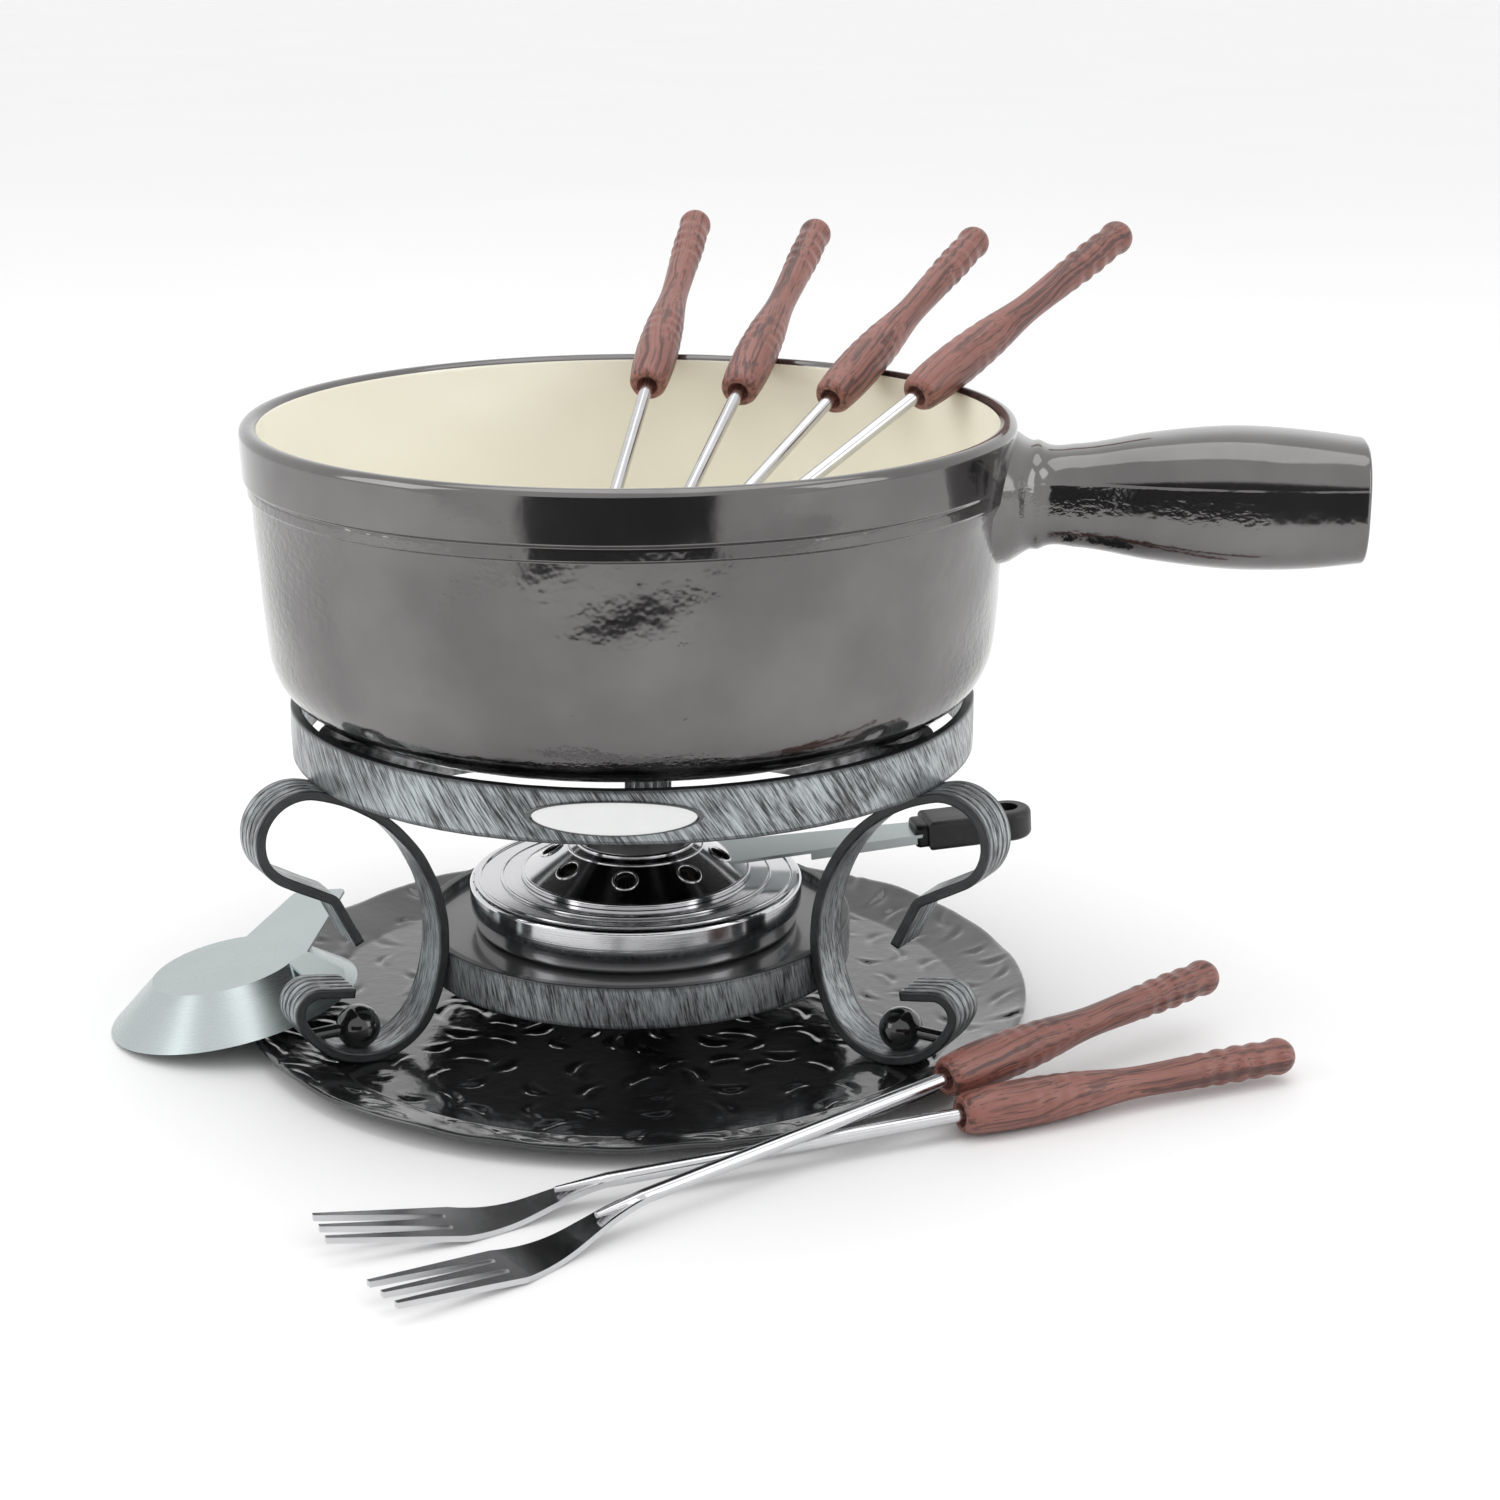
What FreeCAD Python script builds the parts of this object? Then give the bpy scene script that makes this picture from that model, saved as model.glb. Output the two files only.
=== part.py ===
import FreeCAD, Part
import math
import os
from FreeCAD import Matrix, Placement, Vector

# A fondue set: an enamelled cast-iron pot on a scrolled strip-iron stand, a spirit burner with a turning
# regulator, a hammered tray, a snuffer and six long forks.  Millimetres, +Z up.  The origin is the centre of
# the tray's underside, where the set stands on a table.  The stand's third leg points along +Y.

# ---------------------------------------------------------------- driving dimensions
FIT = 0.3                    # gap left between loose pieces that rest on each other
EPS = 0.01                   # overshoot of a cutting tool past the face it opens

TRAY_R = 117.4               # outer edge of the tray
TRAY_FLOOR_R = 99.0          # flat part of the tray
TRAY_RISE = 5.7              # climb of the tray's wall
TRAY_SHEET = 1.2

STRIP = 3.0                  # thickness of every iron strip in the stand
LEG_WIDTH = 14.0
LEG_AZIMUTHS = (90.0, 210.0, 330.0)
FOOT_R = 87.6                # where the lowest point of a leg touches the tray
# A leg's path: a straight run is (length,), an arc is (radius, turn in degrees, left positive).
LOWER_CURL = [(23.2, 68.0), (5.7, 122.0), (10.0,)]
UPPER_SWEEP = [(19.5, -64.0), (49.85, -101.0), (13.0, -166.0), (14.5,), (4.0, 35.0), (14.5,)]
WELD = 0.3                   # depth to which a welded strip is saddled round its neighbour
BALL_R = 6.4
BALL_OUT = 2.4               # ball's centre beyond the foot's lowest point
BALL_STEM_R = 1.9            # level stem from the ball to the inside of the curl

UPPER_RING_R = 99.6
UPPER_RING_WIDTH = 15.0
LOWER_RING_WIDTH = 12.5
LOWER_RING_Z = 17.4
PLATE_SHEET = 1.5            # burner plate closing the lower ring
PLATE_DROP = 2.7             # plate's top below the ring's top edge

SUPPORT_WIDTH = 12.0         # pot supports: a three-lobed star of strip inside the upper ring
LOBE_R = 14.0                # radius of a lobe's rounded end, to the middle of the strip
STAR_WAIST_R = 30.0          # nearest the star's sides come to the axis
POT_SEAT = 1.5               # how far the pot's base drops below the upper ring's edge
POT_SEAT_CLEAR = 12.9        # from the flat of the pot's base out to the upper ring's inside

BADGE_LENGTH = 46.8
BADGE_HEIGHT = 9.6
BADGE_SHEET = 0.7

POT_R = 110.0                # outside of the rim
POT_HEIGHT = 82.5
POT_WALL = 5.0
POT_FLOOR = 5.5
POT_TOP_BAND = 15.0          # height of the plain band under the rim
POT_LEDGE = 4.0              # height of the shallow ledge under the band
POT_LEDGE_STEP = 0.7
POT_CORNER_R = 20.0

HANDLE_AZIMUTH = -4.5        # cast handle
HANDLE_DROP = 21.5           # handle axis below the rim
HANDLE_REACH = 206.0         # end of the handle from the pot's axis
# Sections of the handle: share of its length, half width, half height.
HANDLE_SECTIONS = [(0.0, 15.2, 13.6), (0.14, 15.4, 14.2), (0.36, 18.6, 17.4), (0.62, 20.4, 19.6),
                   (0.84, 20.2, 18.8), (1.0, 18.8, 17.0)]
BOSS_WIDTH = 23.0            # half width of the boss where it leaves the pot
BOSS_HEIGHT = 17.0
BOSS_REACH = 4.5             # how far the boss and its collar stand off the rim
BOSS_FOOT = 6.0              # how much wider the boss starts inside the wall
COLLAR_STEP = 1.5            # the collar stands this much proud of the handle
COLLAR_LENGTH = 1.0

BURNER_R = 49.6              # skirt of the cover
BURNER_SHEET = 0.8
BURNER_CUP_GAP = 0.6         # between the base cup and the skirt
BASE_BEND = 1.6              # outside radius of the base cup's foot
COVER_ROLL = 1.4             # outside radius of the cover's shoulder
BURNER_SKIRT = 7.6
BURNER_HEIGHT = 14.0         # plate to the cover's top edge
BURNER_BEAD = 0.6            # step of the raised ring round the cover's top
BURNER_BEAD_R = 39.5
FUEL_CUP_R = 40.0
GAUZE_R = 15.5
GAUZE_DROP = 1.96            # gauze below the fixed cone
REGULATOR_LIP_R = 34.3
REGULATOR_MOUTH_R = 17.5
REGULATOR_RISE = 9.0
REGULATOR_GAP = 0.4          # between the fixed cone and the regulator over it
REGULATOR_ROLL = 1.6         # width of the mouth's inner roll
REGULATOR_ROLL_RISE = 0.4
CONE_LAP = 2.4               # the fixed cone ends this far inside the regulator's lip
AIR_HOLES = 8
AIR_HOLE_R = 3.2
AIR_HOLE_RING_R = 25.2
AIR_HOLE_AZIMUTH = 41.0

LEVER_AZIMUTH = 11.0         # regulator's lever
LEVER_CLIMB = 3.6            # degrees
LEVER_START_R = 29.5
LEVER_END_R = 92.5
LEVER_ROOT_WIDTH = 19.0
LEVER_END_WIDTH = 10.0
LEVER_SHEET = 1.0
LEVER_FLANGE = 3.2
LEVER_FLANGE_R = 52.0        # the folded flanges begin here, clear of the cover
GRIP_LENGTH = 33.5
GRIP_WIDTH = 15.0
GRIP_HEIGHT = 9.0
GRIP_EYE_R = 3.6
GRIP_CORNER_R = 1.8

FORK_LENGTH = 281.0
SHAFT_R = 2.0
FORK_HANDLE = 105.0
HANDLE_SOCKET = 14.0         # depth of the handle's bore
FORK_BALL_R = 5.3
RIPPLES = 4                  # finger rings next to the ball
RIPPLE_PITCH = 6.0
RECESS_R = 3.1               # ring let into the mouth round the shaft
RECESS_DEPTH = 2.5
FORK_BULGE_R = 6.7
FORK_BULGE_AT = 0.84         # share of the handle's length
TABLE_GAP = 0.1              # under what lies on the table
FORK_MOUTH_R = 5.5
HEAD_START = 202.0           # the shaft begins to flatten here
HEAD_HALF_WIDTH = 8.6        # at the roots of the tines
TIP_HALF_WIDTH = 7.2
TINE_ROOT = 249.0
TINE_TIP = 1.4
SLOT_R = 1.15
FORK_SHEET = 1.6
# Side view of the head: dips below the shaft, then the tines curve up again.
HEAD_BEND = [(70.0, -14.0), (8.0,), (45.0, 23.5), (40.0,)]

# Forks standing in the pot: azimuth where the handle lies on the rim, heading from butt to tips, distance
# from the butt to the rim, and tip height above the pot's floor.  Their heads lie on each other in this
# order.
POT_FORKS = [(87.2, 262.2, 71.7, 1.5), (69.1, 254.5, 69.5, 3.5),
             (46.6, 239.0, 71.4, 5.3), (25.6, 225.0, 83.4, 7.9)]
# Forks on the table: heading, gap from the tray's edge to the line of the shaft, and the butt's place along
# the heading.  The second lies across the first.
TABLE_FORKS = [(203.2, 6.859, -151.827), (218.1, 4.690, -121.187)]

SNUFFER_X = -118.3
SNUFFER_Y = -17.8
SNUFFER_RIM_R = 36.9
SNUFFER_TOP_R = 22.0
SNUFFER_DEPTH = 11.8
SNUFFER_SHEET = 0.8
SNUFFER_TILT_AZIMUTH = 182.3 # the mouth's low edge points this way
# The lever lies level with the top: its outline from the top's middle round to the far end and back.
SNUFFER_LEVER = [(1.5, 20.1), (0.0, 0.0), (17.6, -10.7), (20.5, -7.6), (24.7, -0.2), (28.3, 51.5),
                 (11.5, 56.6)]
# A short lug beside it, bent down along its first two points.
SNUFFER_LUG = [(24.7, -0.2), (20.5, -7.6), (29.5, -19.7), (38.6, -18.4), (37.0, -10.0)]
SNUFFER_LUG_DROP = 14.0      # degrees
SNUFFER_CORNER_R = 3.0

# ---------------------------------------------------------------- places that follow from them
floor_z = TRAY_SHEET
foot_z = floor_z + STRIP / 2
snuffer_slope = (SNUFFER_RIM_R - SNUFFER_TOP_R) / SNUFFER_DEPTH


# ---------------------------------------------------------------- helpers
def polar(r, azimuth, z=0.0):
    a = math.radians(azimuth)
    return Vector(r * math.cos(a), r * math.sin(a), z)


def outline(start, *steps):
    """Closed wire in the XZ plane: a step is a point, or (middle, end) of an arc."""
    edges = []
    here = start
    for step in list(steps) + [start]:
        if isinstance(step[0], tuple):
            middle, end = step
            points = [Vector(p[0], 0, p[1]) for p in (here, middle, end)]
            edges.append(Part.Arc(*points).toShape())
        else:
            end = step
            if math.dist(here, end) > 1e-6:
                edges.append(Part.makeLine(Vector(here[0], 0, here[1]), Vector(end[0], 0, end[1])))
        here = end
    return Part.Wire(edges)


def turned(*steps):
    """Solid of revolution about Z from an outline in the XZ plane."""
    face = Part.Face(outline(*steps))
    return face.revolve(Vector(0, 0, 0), Vector(0, 0, 1), 360)


def arc_point(centre, radius, angle):
    """Point on a circle in the XZ plane, angle in degrees from +X."""
    a = math.radians(angle)
    return (centre[0] + radius * math.cos(a), centre[1] + radius * math.sin(a))


def band(outer, wall, bottom, height):
    """Flat ring of strip with its corners taken off."""
    c = wall / 6
    inner = outer - wall
    top = bottom + height
    return turned((inner + c, bottom), (outer - c, bottom), (outer, bottom + c), (outer, top - c),
                  (outer - c, top), (inner + c, top), (inner, top - c), (inner, bottom + c))


def walk(start, heading, steps):
    """Corners of a path: its points, headings and arc data, in two dimensions."""
    x, y = start
    h = math.radians(heading)
    pieces = []
    for step in steps:
        if len(step) == 1:
            pieces.append(("run", x, y, h, step[0], 0.0))
            x += step[0] * math.cos(h)
            y += step[0] * math.sin(h)
        else:
            radius, turn = step[0], math.radians(step[1])
            side = math.copysign(1.0, turn)
            pieces.append(("arc", x, y, h, radius * side, turn))
            cx = x - side * radius * math.sin(h)
            cy = y + side * radius * math.cos(h)
            h += turn
            x = cx + side * radius * math.sin(h)
            y = cy - side * radius * math.cos(h)
    pieces.append(("end", x, y, h, 0.0, 0.0))
    return pieces


def side_edges(pieces, shift):
    """Edges of a path in the XZ plane, moved to its left by shift, with its first and last points."""
    def moved(x, y, h):
        return Vector(x - shift * math.sin(h), 0, y + shift * math.cos(h))
    edges = []
    for (kind, x, y, h, size, turn), after in zip(pieces, pieces[1:]):
        a = moved(x, y, h)
        b = moved(after[1], after[2], after[3])
        if kind == "run":
            edges.append(Part.makeLine(a, b))
        else:
            cx = x - size * math.sin(h)
            cy = y + size * math.cos(h)
            m = h + turn / 2
            middle = moved(cx + size * math.sin(m), cy - size * math.cos(m), m)
            edges.append(Part.Arc(a, middle, b).toShape())
    first, last = pieces[0], pieces[-1]
    return edges, moved(first[1], first[2], first[3]), moved(last[1], last[2], last[3])


def strip(start, heading, steps, thickness, width):
    """Flat strip bent along a path in the XZ plane, its width centred on that plane."""
    pieces = walk(start, heading, steps)
    left, left_start, left_end = side_edges(pieces, thickness / 2)
    right, right_start, right_end = side_edges(pieces, -thickness / 2)
    far_end = Part.makeLine(left_end, right_end)
    near_end = Part.makeLine(right_start, left_start)
    edges = left + [far_end] + right[::-1] + [near_end]
    solid = Part.Face(Part.Wire(edges)).extrude(Vector(0, width, 0))
    solid.translate(Vector(0, -width / 2, 0))
    return solid


def reached(start, heading, steps):
    """End point and heading, in degrees, of a path."""
    _, x, y, h, _, _ = walk(start, heading, steps)[-1]
    return (x, y), math.degrees(h)


def polygon_prism(points, bottom, height):
    """Upright prism on a polygon in the XY plane."""
    corners = [Vector(x, y, bottom) for x, y in points]
    return Part.Face(Part.makePolygon(corners + corners[:1])).extrude(Vector(0, 0, height))


def about_z(shape, azimuth):
    turned_shape = shape.copy()
    turned_shape.rotate(Vector(0, 0, 0), Vector(0, 0, 1), azimuth)
    return turned_shape


def placed(shape, matrix):
    """Copy of a shape moved rigidly by a matrix."""
    moved = shape.copy()
    moved.Placement = Placement(matrix)
    return moved


def one_solid(shape):
    """The shape cleaned of seams, as a single solid."""
    tidy = shape.removeSplitter()
    solids = tidy.Solids
    if len(solids) != 1:
        raise ValueError("expected one solid, found %d" % len(solids))
    return solids[0]


# ---------------------------------------------------------------- tray
def make_tray():
    lip = 1.6                     # length of the level lip
    wall_top = TRAY_RISE
    wall_out = TRAY_R - lip
    sheet = TRAY_SHEET
    return turned((0, 0), (TRAY_FLOOR_R, 0), (wall_out, wall_top), (TRAY_R, wall_top),
                  (TRAY_R, wall_top + sheet), (wall_out - sheet / 3, wall_top + sheet),
                  (TRAY_FLOOR_R - sheet / 3, sheet), (0, sheet))


# ---------------------------------------------------------------- stand
def leg_path():
    """Whole leg from the inner end of its lower curl to its tip, as a start, a heading and steps."""
    curl_end, curl_heading = reached((FOOT_R, foot_z), 0, LOWER_CURL)
    back = [step if len(step) == 1 else (step[0], -step[1]) for step in LOWER_CURL[::-1]]
    return curl_end, curl_heading + 180, back + UPPER_SWEEP


def leg_inner_r(z):
    """Radius of the leg's inner face, on its long arc, at a height."""
    start, heading = reached((FOOT_R, foot_z), 180, UPPER_SWEEP[:1])
    radius = UPPER_SWEEP[1][0]
    h = math.radians(heading)
    centre = (start[0] + radius * math.sin(h), start[1] - radius * math.cos(h))
    outer = radius + STRIP / 2
    return centre[0] - math.sqrt(outer ** 2 - (z - centre[1]) ** 2)


def leg_top_at(r):
    """Height of the leg's upper face where it passes under a radius."""
    start, heading = reached((FOOT_R, foot_z), 180, UPPER_SWEEP[:1])
    radius = UPPER_SWEEP[1][0]
    h = math.radians(heading)
    centre = (start[0] + radius * math.sin(h), start[1] - radius * math.cos(h))
    outer = radius + STRIP / 2
    return centre[1] + math.sqrt(outer ** 2 - (r - centre[0]) ** 2)


upper_ring_z = leg_top_at(UPPER_RING_R) - WELD
upper_ring_top = upper_ring_z + UPPER_RING_WIDTH
lower_ring_top = LOWER_RING_Z + LOWER_RING_WIDTH
lower_ring_r = leg_inner_r(lower_ring_top) + WELD
plate_top = lower_ring_top - PLATE_DROP
pot_z = upper_ring_top - POT_SEAT


def make_upper_ring():
    return band(UPPER_RING_R, STRIP, upper_ring_z, UPPER_RING_WIDTH)


def make_lower_ring():
    return band(lower_ring_r, STRIP, LOWER_RING_Z, LOWER_RING_WIDTH)


def make_burner_plate():
    inner = lower_ring_r - STRIP
    plate = Part.makeCylinder(inner, PLATE_SHEET, Vector(0, 0, plate_top - PLATE_SHEET))
    return plate


def make_leg(azimuth, rings):
    start, heading, steps = leg_path()
    leg = about_z(strip(start, heading, steps, STRIP, LEG_WIDTH), azimuth)
    return one_solid(leg.cut(rings))


def make_ball(azimuth, leg):
    """Ball resting on the leg inside its lower curl, with a level stem out to the curl."""
    centre_z = foot_z + STRIP / 2 + BALL_R - WELD
    centre = polar(FOOT_R + BALL_OUT, azimuth, centre_z)
    ball = Part.makeSphere(BALL_R, centre)
    stem = Part.makeCylinder(BALL_STEM_R, LOWER_CURL[0][0], centre, polar(1, azimuth))
    return max(ball.fuse(stem).cut(leg).Solids, key=lambda s: s.Volume)


def make_support(azimuth):
    """One lobe of the star that carries the pot: a rounded end against the ring and two sides inwards."""
    tip = UPPER_RING_R - STRIP - STRIP / 2            # outermost point of the strip's middle line
    c1 = tip - LOBE_R                                 # centre of the lobe's end
    # A side is an arc tangent to the lobe, centred on the next 60 degree line.
    waist = STAR_WAIST_R
    rho = (c1 ** 2 + waist ** 2 - c1 * waist - LOBE_R ** 2) / (2 * LOBE_R + c1 - 2 * waist)
    q = STAR_WAIST_R + rho
    centre = (q * math.cos(math.radians(60)), q * math.sin(math.radians(60)))
    toward = math.atan2(centre[1], centre[0] - c1)
    lean = math.degrees(toward) - 90
    touch = (c1 + LOBE_R * math.cos(toward), LOBE_R * math.sin(toward))
    waist = (STAR_WAIST_R * math.cos(math.radians(60)), STAR_WAIST_R * math.sin(math.radians(60)))
    span = math.degrees(math.atan2(waist[1] - centre[1], waist[0] - centre[0])
                        - math.atan2(touch[1] - centre[1], touch[0] - centre[0])) % 360
    side = -min(span, 360 - span)
    steps = [(rho, side), (LOBE_R, 180 + 2 * lean), (rho, side)]
    lobe = strip((waist[0], -waist[1]), 30, steps, STRIP, SUPPORT_WIDTH)
    lobe.rotate(Vector(0, 0, 0), Vector(1, 0, 0), 90)
    lobe.translate(Vector(0, 0, pot_z - SUPPORT_WIDTH / 2))
    return about_z(lobe, azimuth)


def make_badge():
    """Plain oval plate curved round the front of the upper ring."""
    middle = upper_ring_z + UPPER_RING_WIDTH / 2
    low, top, face_r = middle - BADGE_HEIGHT, middle + BADGE_HEIGHT, UPPER_RING_R + BADGE_SHEET
    shell = turned((UPPER_RING_R, low), (face_r, low), (face_r, top), (UPPER_RING_R, top))
    oval = Part.Ellipse(Vector(0, 0, 0), BADGE_LENGTH / 2, BADGE_HEIGHT / 2).toShape()
    prism = Part.Face(Part.Wire([oval])).extrude(Vector(0, 0, 2 * UPPER_RING_R))
    prism.rotate(Vector(0, 0, 0), Vector(1, 0, 0), 90)
    prism.translate(Vector(0, 0, middle))
    return one_solid(shell.common(prism))


# ---------------------------------------------------------------- pot
rim_z = pot_z + POT_HEIGHT
corner_r = UPPER_RING_R - STRIP - POT_SEAT_CLEAR       # centre of the outside corner
inner_corner_r = POT_CORNER_R - POT_WALL
floor_inside_z = pot_z + POT_FLOOR


def pot_outside():
    corner = (corner_r, pot_z + POT_CORNER_R)
    wall_foot = (corner_r + POT_CORNER_R, pot_z + POT_CORNER_R)
    ledge_low = rim_z - POT_TOP_BAND - POT_LEDGE
    band_low = rim_z - POT_TOP_BAND
    wall_top = POT_R - 3.1 * POT_LEDGE_STEP
    soft = POT_LEDGE_STEP
    top = POT_WALL / 2
    return [(corner_r, pot_z), (arc_point(corner, POT_CORNER_R, -45), wall_foot),
            (wall_top, ledge_low), (wall_top + POT_LEDGE_STEP, ledge_low + soft),
            (wall_top + POT_LEDGE_STEP * 1.1, band_low), (POT_R - POT_LEDGE_STEP, band_low + soft),
            (POT_R, rim_z - top)]


def pot_inside(top):
    """Cavity outline from the floor's edge up to the mouth, at a height top."""
    wall = POT_R - POT_WALL
    corner = (corner_r, floor_inside_z + inner_corner_r)
    wall_foot = (corner_r + inner_corner_r, floor_inside_z + inner_corner_r)
    return [(corner_r, floor_inside_z), (arc_point(corner, inner_corner_r, -45), wall_foot), (wall, top)]


def make_pot():
    half = POT_WALL / 2
    inside = pot_inside(rim_z - half)
    wall_foot = inside[1][1]
    corner = (corner_r, floor_inside_z + inner_corner_r)
    bowl = turned((0, pot_z), *pot_outside(), (arc_point((POT_R - half, rim_z - half), half, 90),
                  (POT_R - POT_WALL, rim_z - half)), wall_foot,
                  (arc_point(corner, inner_corner_r, -45), (corner_r, floor_inside_z)), (0, floor_inside_z))
    cavity = turned((0, floor_inside_z), *pot_inside(rim_z - half),
                    (POT_R - POT_WALL, rim_z + POT_WALL), (0, rim_z + POT_WALL))
    return one_solid(bowl.fuse(make_pot_handle()).cut(cavity))


def handle_section(x, half_width, half_height, z):
    """Upright oval across the handle at a distance from the pot's axis."""
    if half_width >= half_height:
        oval = Part.Ellipse(Vector(x, 0, z), half_width, half_height)
        major = Vector(0, 1, 0)
    else:
        oval = Part.Ellipse(Vector(x, 0, z), half_height, half_width)
        major = Vector(0, 0, 1)
    oval.Axis = Vector(1, 0, 0)
    oval.XAxis = major
    return Part.Wire([oval.toShape()])


def make_pot_handle():
    z = rim_z - HANDLE_DROP
    root = POT_R + BOSS_REACH
    length = HANDLE_REACH - root
    sections = [handle_section(root + share * length, w, h, z) for share, w, h in HANDLE_SECTIONS]
    bar = Part.makeLoft(sections, True, False)
    _, neck_w, neck_h = HANDLE_SECTIONS[0]
    collar = handle_section(root + COLLAR_LENGTH, neck_w + COLLAR_STEP, neck_h + COLLAR_STEP, z)
    boss = Part.makeLoft([handle_section(POT_R - 3 * POT_WALL, BOSS_WIDTH + BOSS_FOOT, BOSS_HEIGHT, z),
                          handle_section(POT_R - POT_WALL / 2, BOSS_WIDTH, BOSS_HEIGHT, z), collar], True, False)
    return about_z(bar.fuse(boss), HANDLE_AZIMUTH)


# ---------------------------------------------------------------- burner
cover_top = plate_top + BURNER_HEIGHT
cone_slope = REGULATOR_RISE / (REGULATOR_LIP_R - REGULATOR_MOUTH_R)


def cone_z(r):
    """Height of the regulator's outer face at a radius."""
    return cover_top + BURNER_BEAD + FIT + BURNER_SHEET + cone_slope * (REGULATOR_LIP_R - r)


def air_hole_tool():
    """Eight short pins square to the cone's slope."""
    tilt = math.degrees(math.atan(cone_slope))
    depth = 6.0
    pin = Part.makeCylinder(AIR_HOLE_R, 2 * depth, Vector(0, 0, -depth))
    pin.rotate(Vector(0, 0, 0), Vector(0, 1, 0), tilt)
    pin.translate(Vector(AIR_HOLE_RING_R, 0, cone_z(AIR_HOLE_RING_R)))
    pins = [about_z(pin, AIR_HOLE_AZIMUTH + 360.0 * k / AIR_HOLES) for k in range(AIR_HOLES)]
    return pins[0].multiFuse(pins[1:])


def make_burner_base():
    """Outer cup that stands on the plate."""
    r = BURNER_R - BURNER_SHEET - BURNER_CUP_GAP
    t = BURNER_SHEET
    top = cover_top - 2 * t
    bend = BASE_BEND
    low = plate_top + FIT
    centre = (r - bend, low + bend)
    return turned((0, low), (r - bend, low), (arc_point(centre, bend, -45), (r, low + bend)),
                  (r, top), (r - t, top), (r - t, low + bend),
                  (arc_point(centre, bend - t, -45), (r - bend, low + t)), (0, low + t))


def make_fuel_cup():
    """Inner cup that holds the fuel pad, standing in the base cup."""
    r = FUEL_CUP_R
    t = BURNER_SHEET
    low = plate_top + FIT + t
    top = cover_top - 3 * t
    return turned((0, low), (r, low), (r, top), (r - t, top), (r - t, low + t), (0, low + t))


def make_fuel_pad():
    """Absorbent pad that fills the fuel cup."""
    low = plate_top + FIT + 2 * BURNER_SHEET
    return Part.makeCylinder(FUEL_CUP_R - BURNER_SHEET, BURNER_HEIGHT / 2, Vector(0, 0, low))


def make_gauze():
    """Round wire gauze under the burner's mouth."""
    top = cone_z(GAUZE_R) - REGULATOR_GAP - 2 * BURNER_SHEET - GAUZE_DROP
    disc = Part.makeCylinder(GAUZE_R, BURNER_SHEET, Vector(0, 0, top - BURNER_SHEET))
    stem_foot = plate_top + FIT + 2 * BURNER_SHEET + BURNER_HEIGHT / 2
    collar = Part.makeCylinder(GAUZE_R, top - BURNER_SHEET - stem_foot, Vector(0, 0, stem_foot)).cut(
        Part.makeCylinder(GAUZE_R - BURNER_SHEET, top - BURNER_SHEET - stem_foot, Vector(0, 0, stem_foot)))
    return one_solid(disc.fuse(collar))


def make_burner_cover():
    """Rolled skirt, flat top with a raised ring, and the fixed cone under the regulator."""
    t = BURNER_SHEET
    r = BURNER_R
    skirt_low = cover_top - BURNER_SKIRT
    roll = COVER_ROLL
    bead_top = cover_top + BURNER_BEAD
    drop = BURNER_SHEET + REGULATOR_GAP
    lip = REGULATOR_LIP_R - CONE_LAP
    cone_foot = cone_z(lip) - drop
    t_cone = t * math.hypot(1, cone_slope)
    mouth = REGULATOR_MOUTH_R - BURNER_BEAD
    meeting = lip - (bead_top - cone_foot) / cone_slope
    centre = (r - roll, cover_top - roll)
    bead_foot = BURNER_BEAD_R + BURNER_BEAD
    cover = turned((r - t, skirt_low), (r, skirt_low), (r, cover_top - roll),
                   (arc_point(centre, roll, 45), (r - roll, cover_top)),
                   (bead_foot, cover_top), (BURNER_BEAD_R, bead_top), (meeting, bead_top),
                   (mouth, cone_z(mouth) - drop), (mouth, cone_z(mouth) - drop - t_cone),
                   (lip - t, bead_top - t), (BURNER_BEAD_R - t / 2, bead_top - t),
                   (bead_foot - t / 2, cover_top - t), (r - roll, cover_top - t),
                   (arc_point(centre, roll - t, 45), (r - t, cover_top - roll)))
    return one_solid(cover.cut(air_hole_tool()))


def make_regulator():
    """Turning cone with a rolled mouth and eight air holes."""
    t = BURNER_SHEET * math.hypot(1, cone_slope)
    lip, mouth = REGULATOR_LIP_R, REGULATOR_MOUTH_R
    roll_r = mouth - REGULATOR_ROLL
    roll_z = cone_z(mouth) + REGULATOR_ROLL_RISE
    cone = turned((lip, cone_z(lip) - t), (lip, cone_z(lip)), (mouth, cone_z(mouth)), (roll_r, roll_z),
                  (roll_r, roll_z - BURNER_SHEET), (mouth, cone_z(mouth) - t))
    return one_solid(cone.cut(air_hole_tool()))


def lever_frame(shape):
    """Moves a shape built along +X into the lever's place."""
    shape.rotate(Vector(LEVER_START_R, 0, 0), Vector(0, 1, 0), -LEVER_CLIMB)
    shape.translate(Vector(0, 0, cone_z(LEVER_START_R) + LEVER_SHEET))
    return about_z(shape, LEVER_AZIMUTH)


def lever_width(x):
    share = (x - LEVER_START_R) / (LEVER_END_R - LEVER_START_R)
    return LEVER_ROOT_WIDTH + (LEVER_END_WIDTH - LEVER_ROOT_WIDTH) * share


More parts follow.
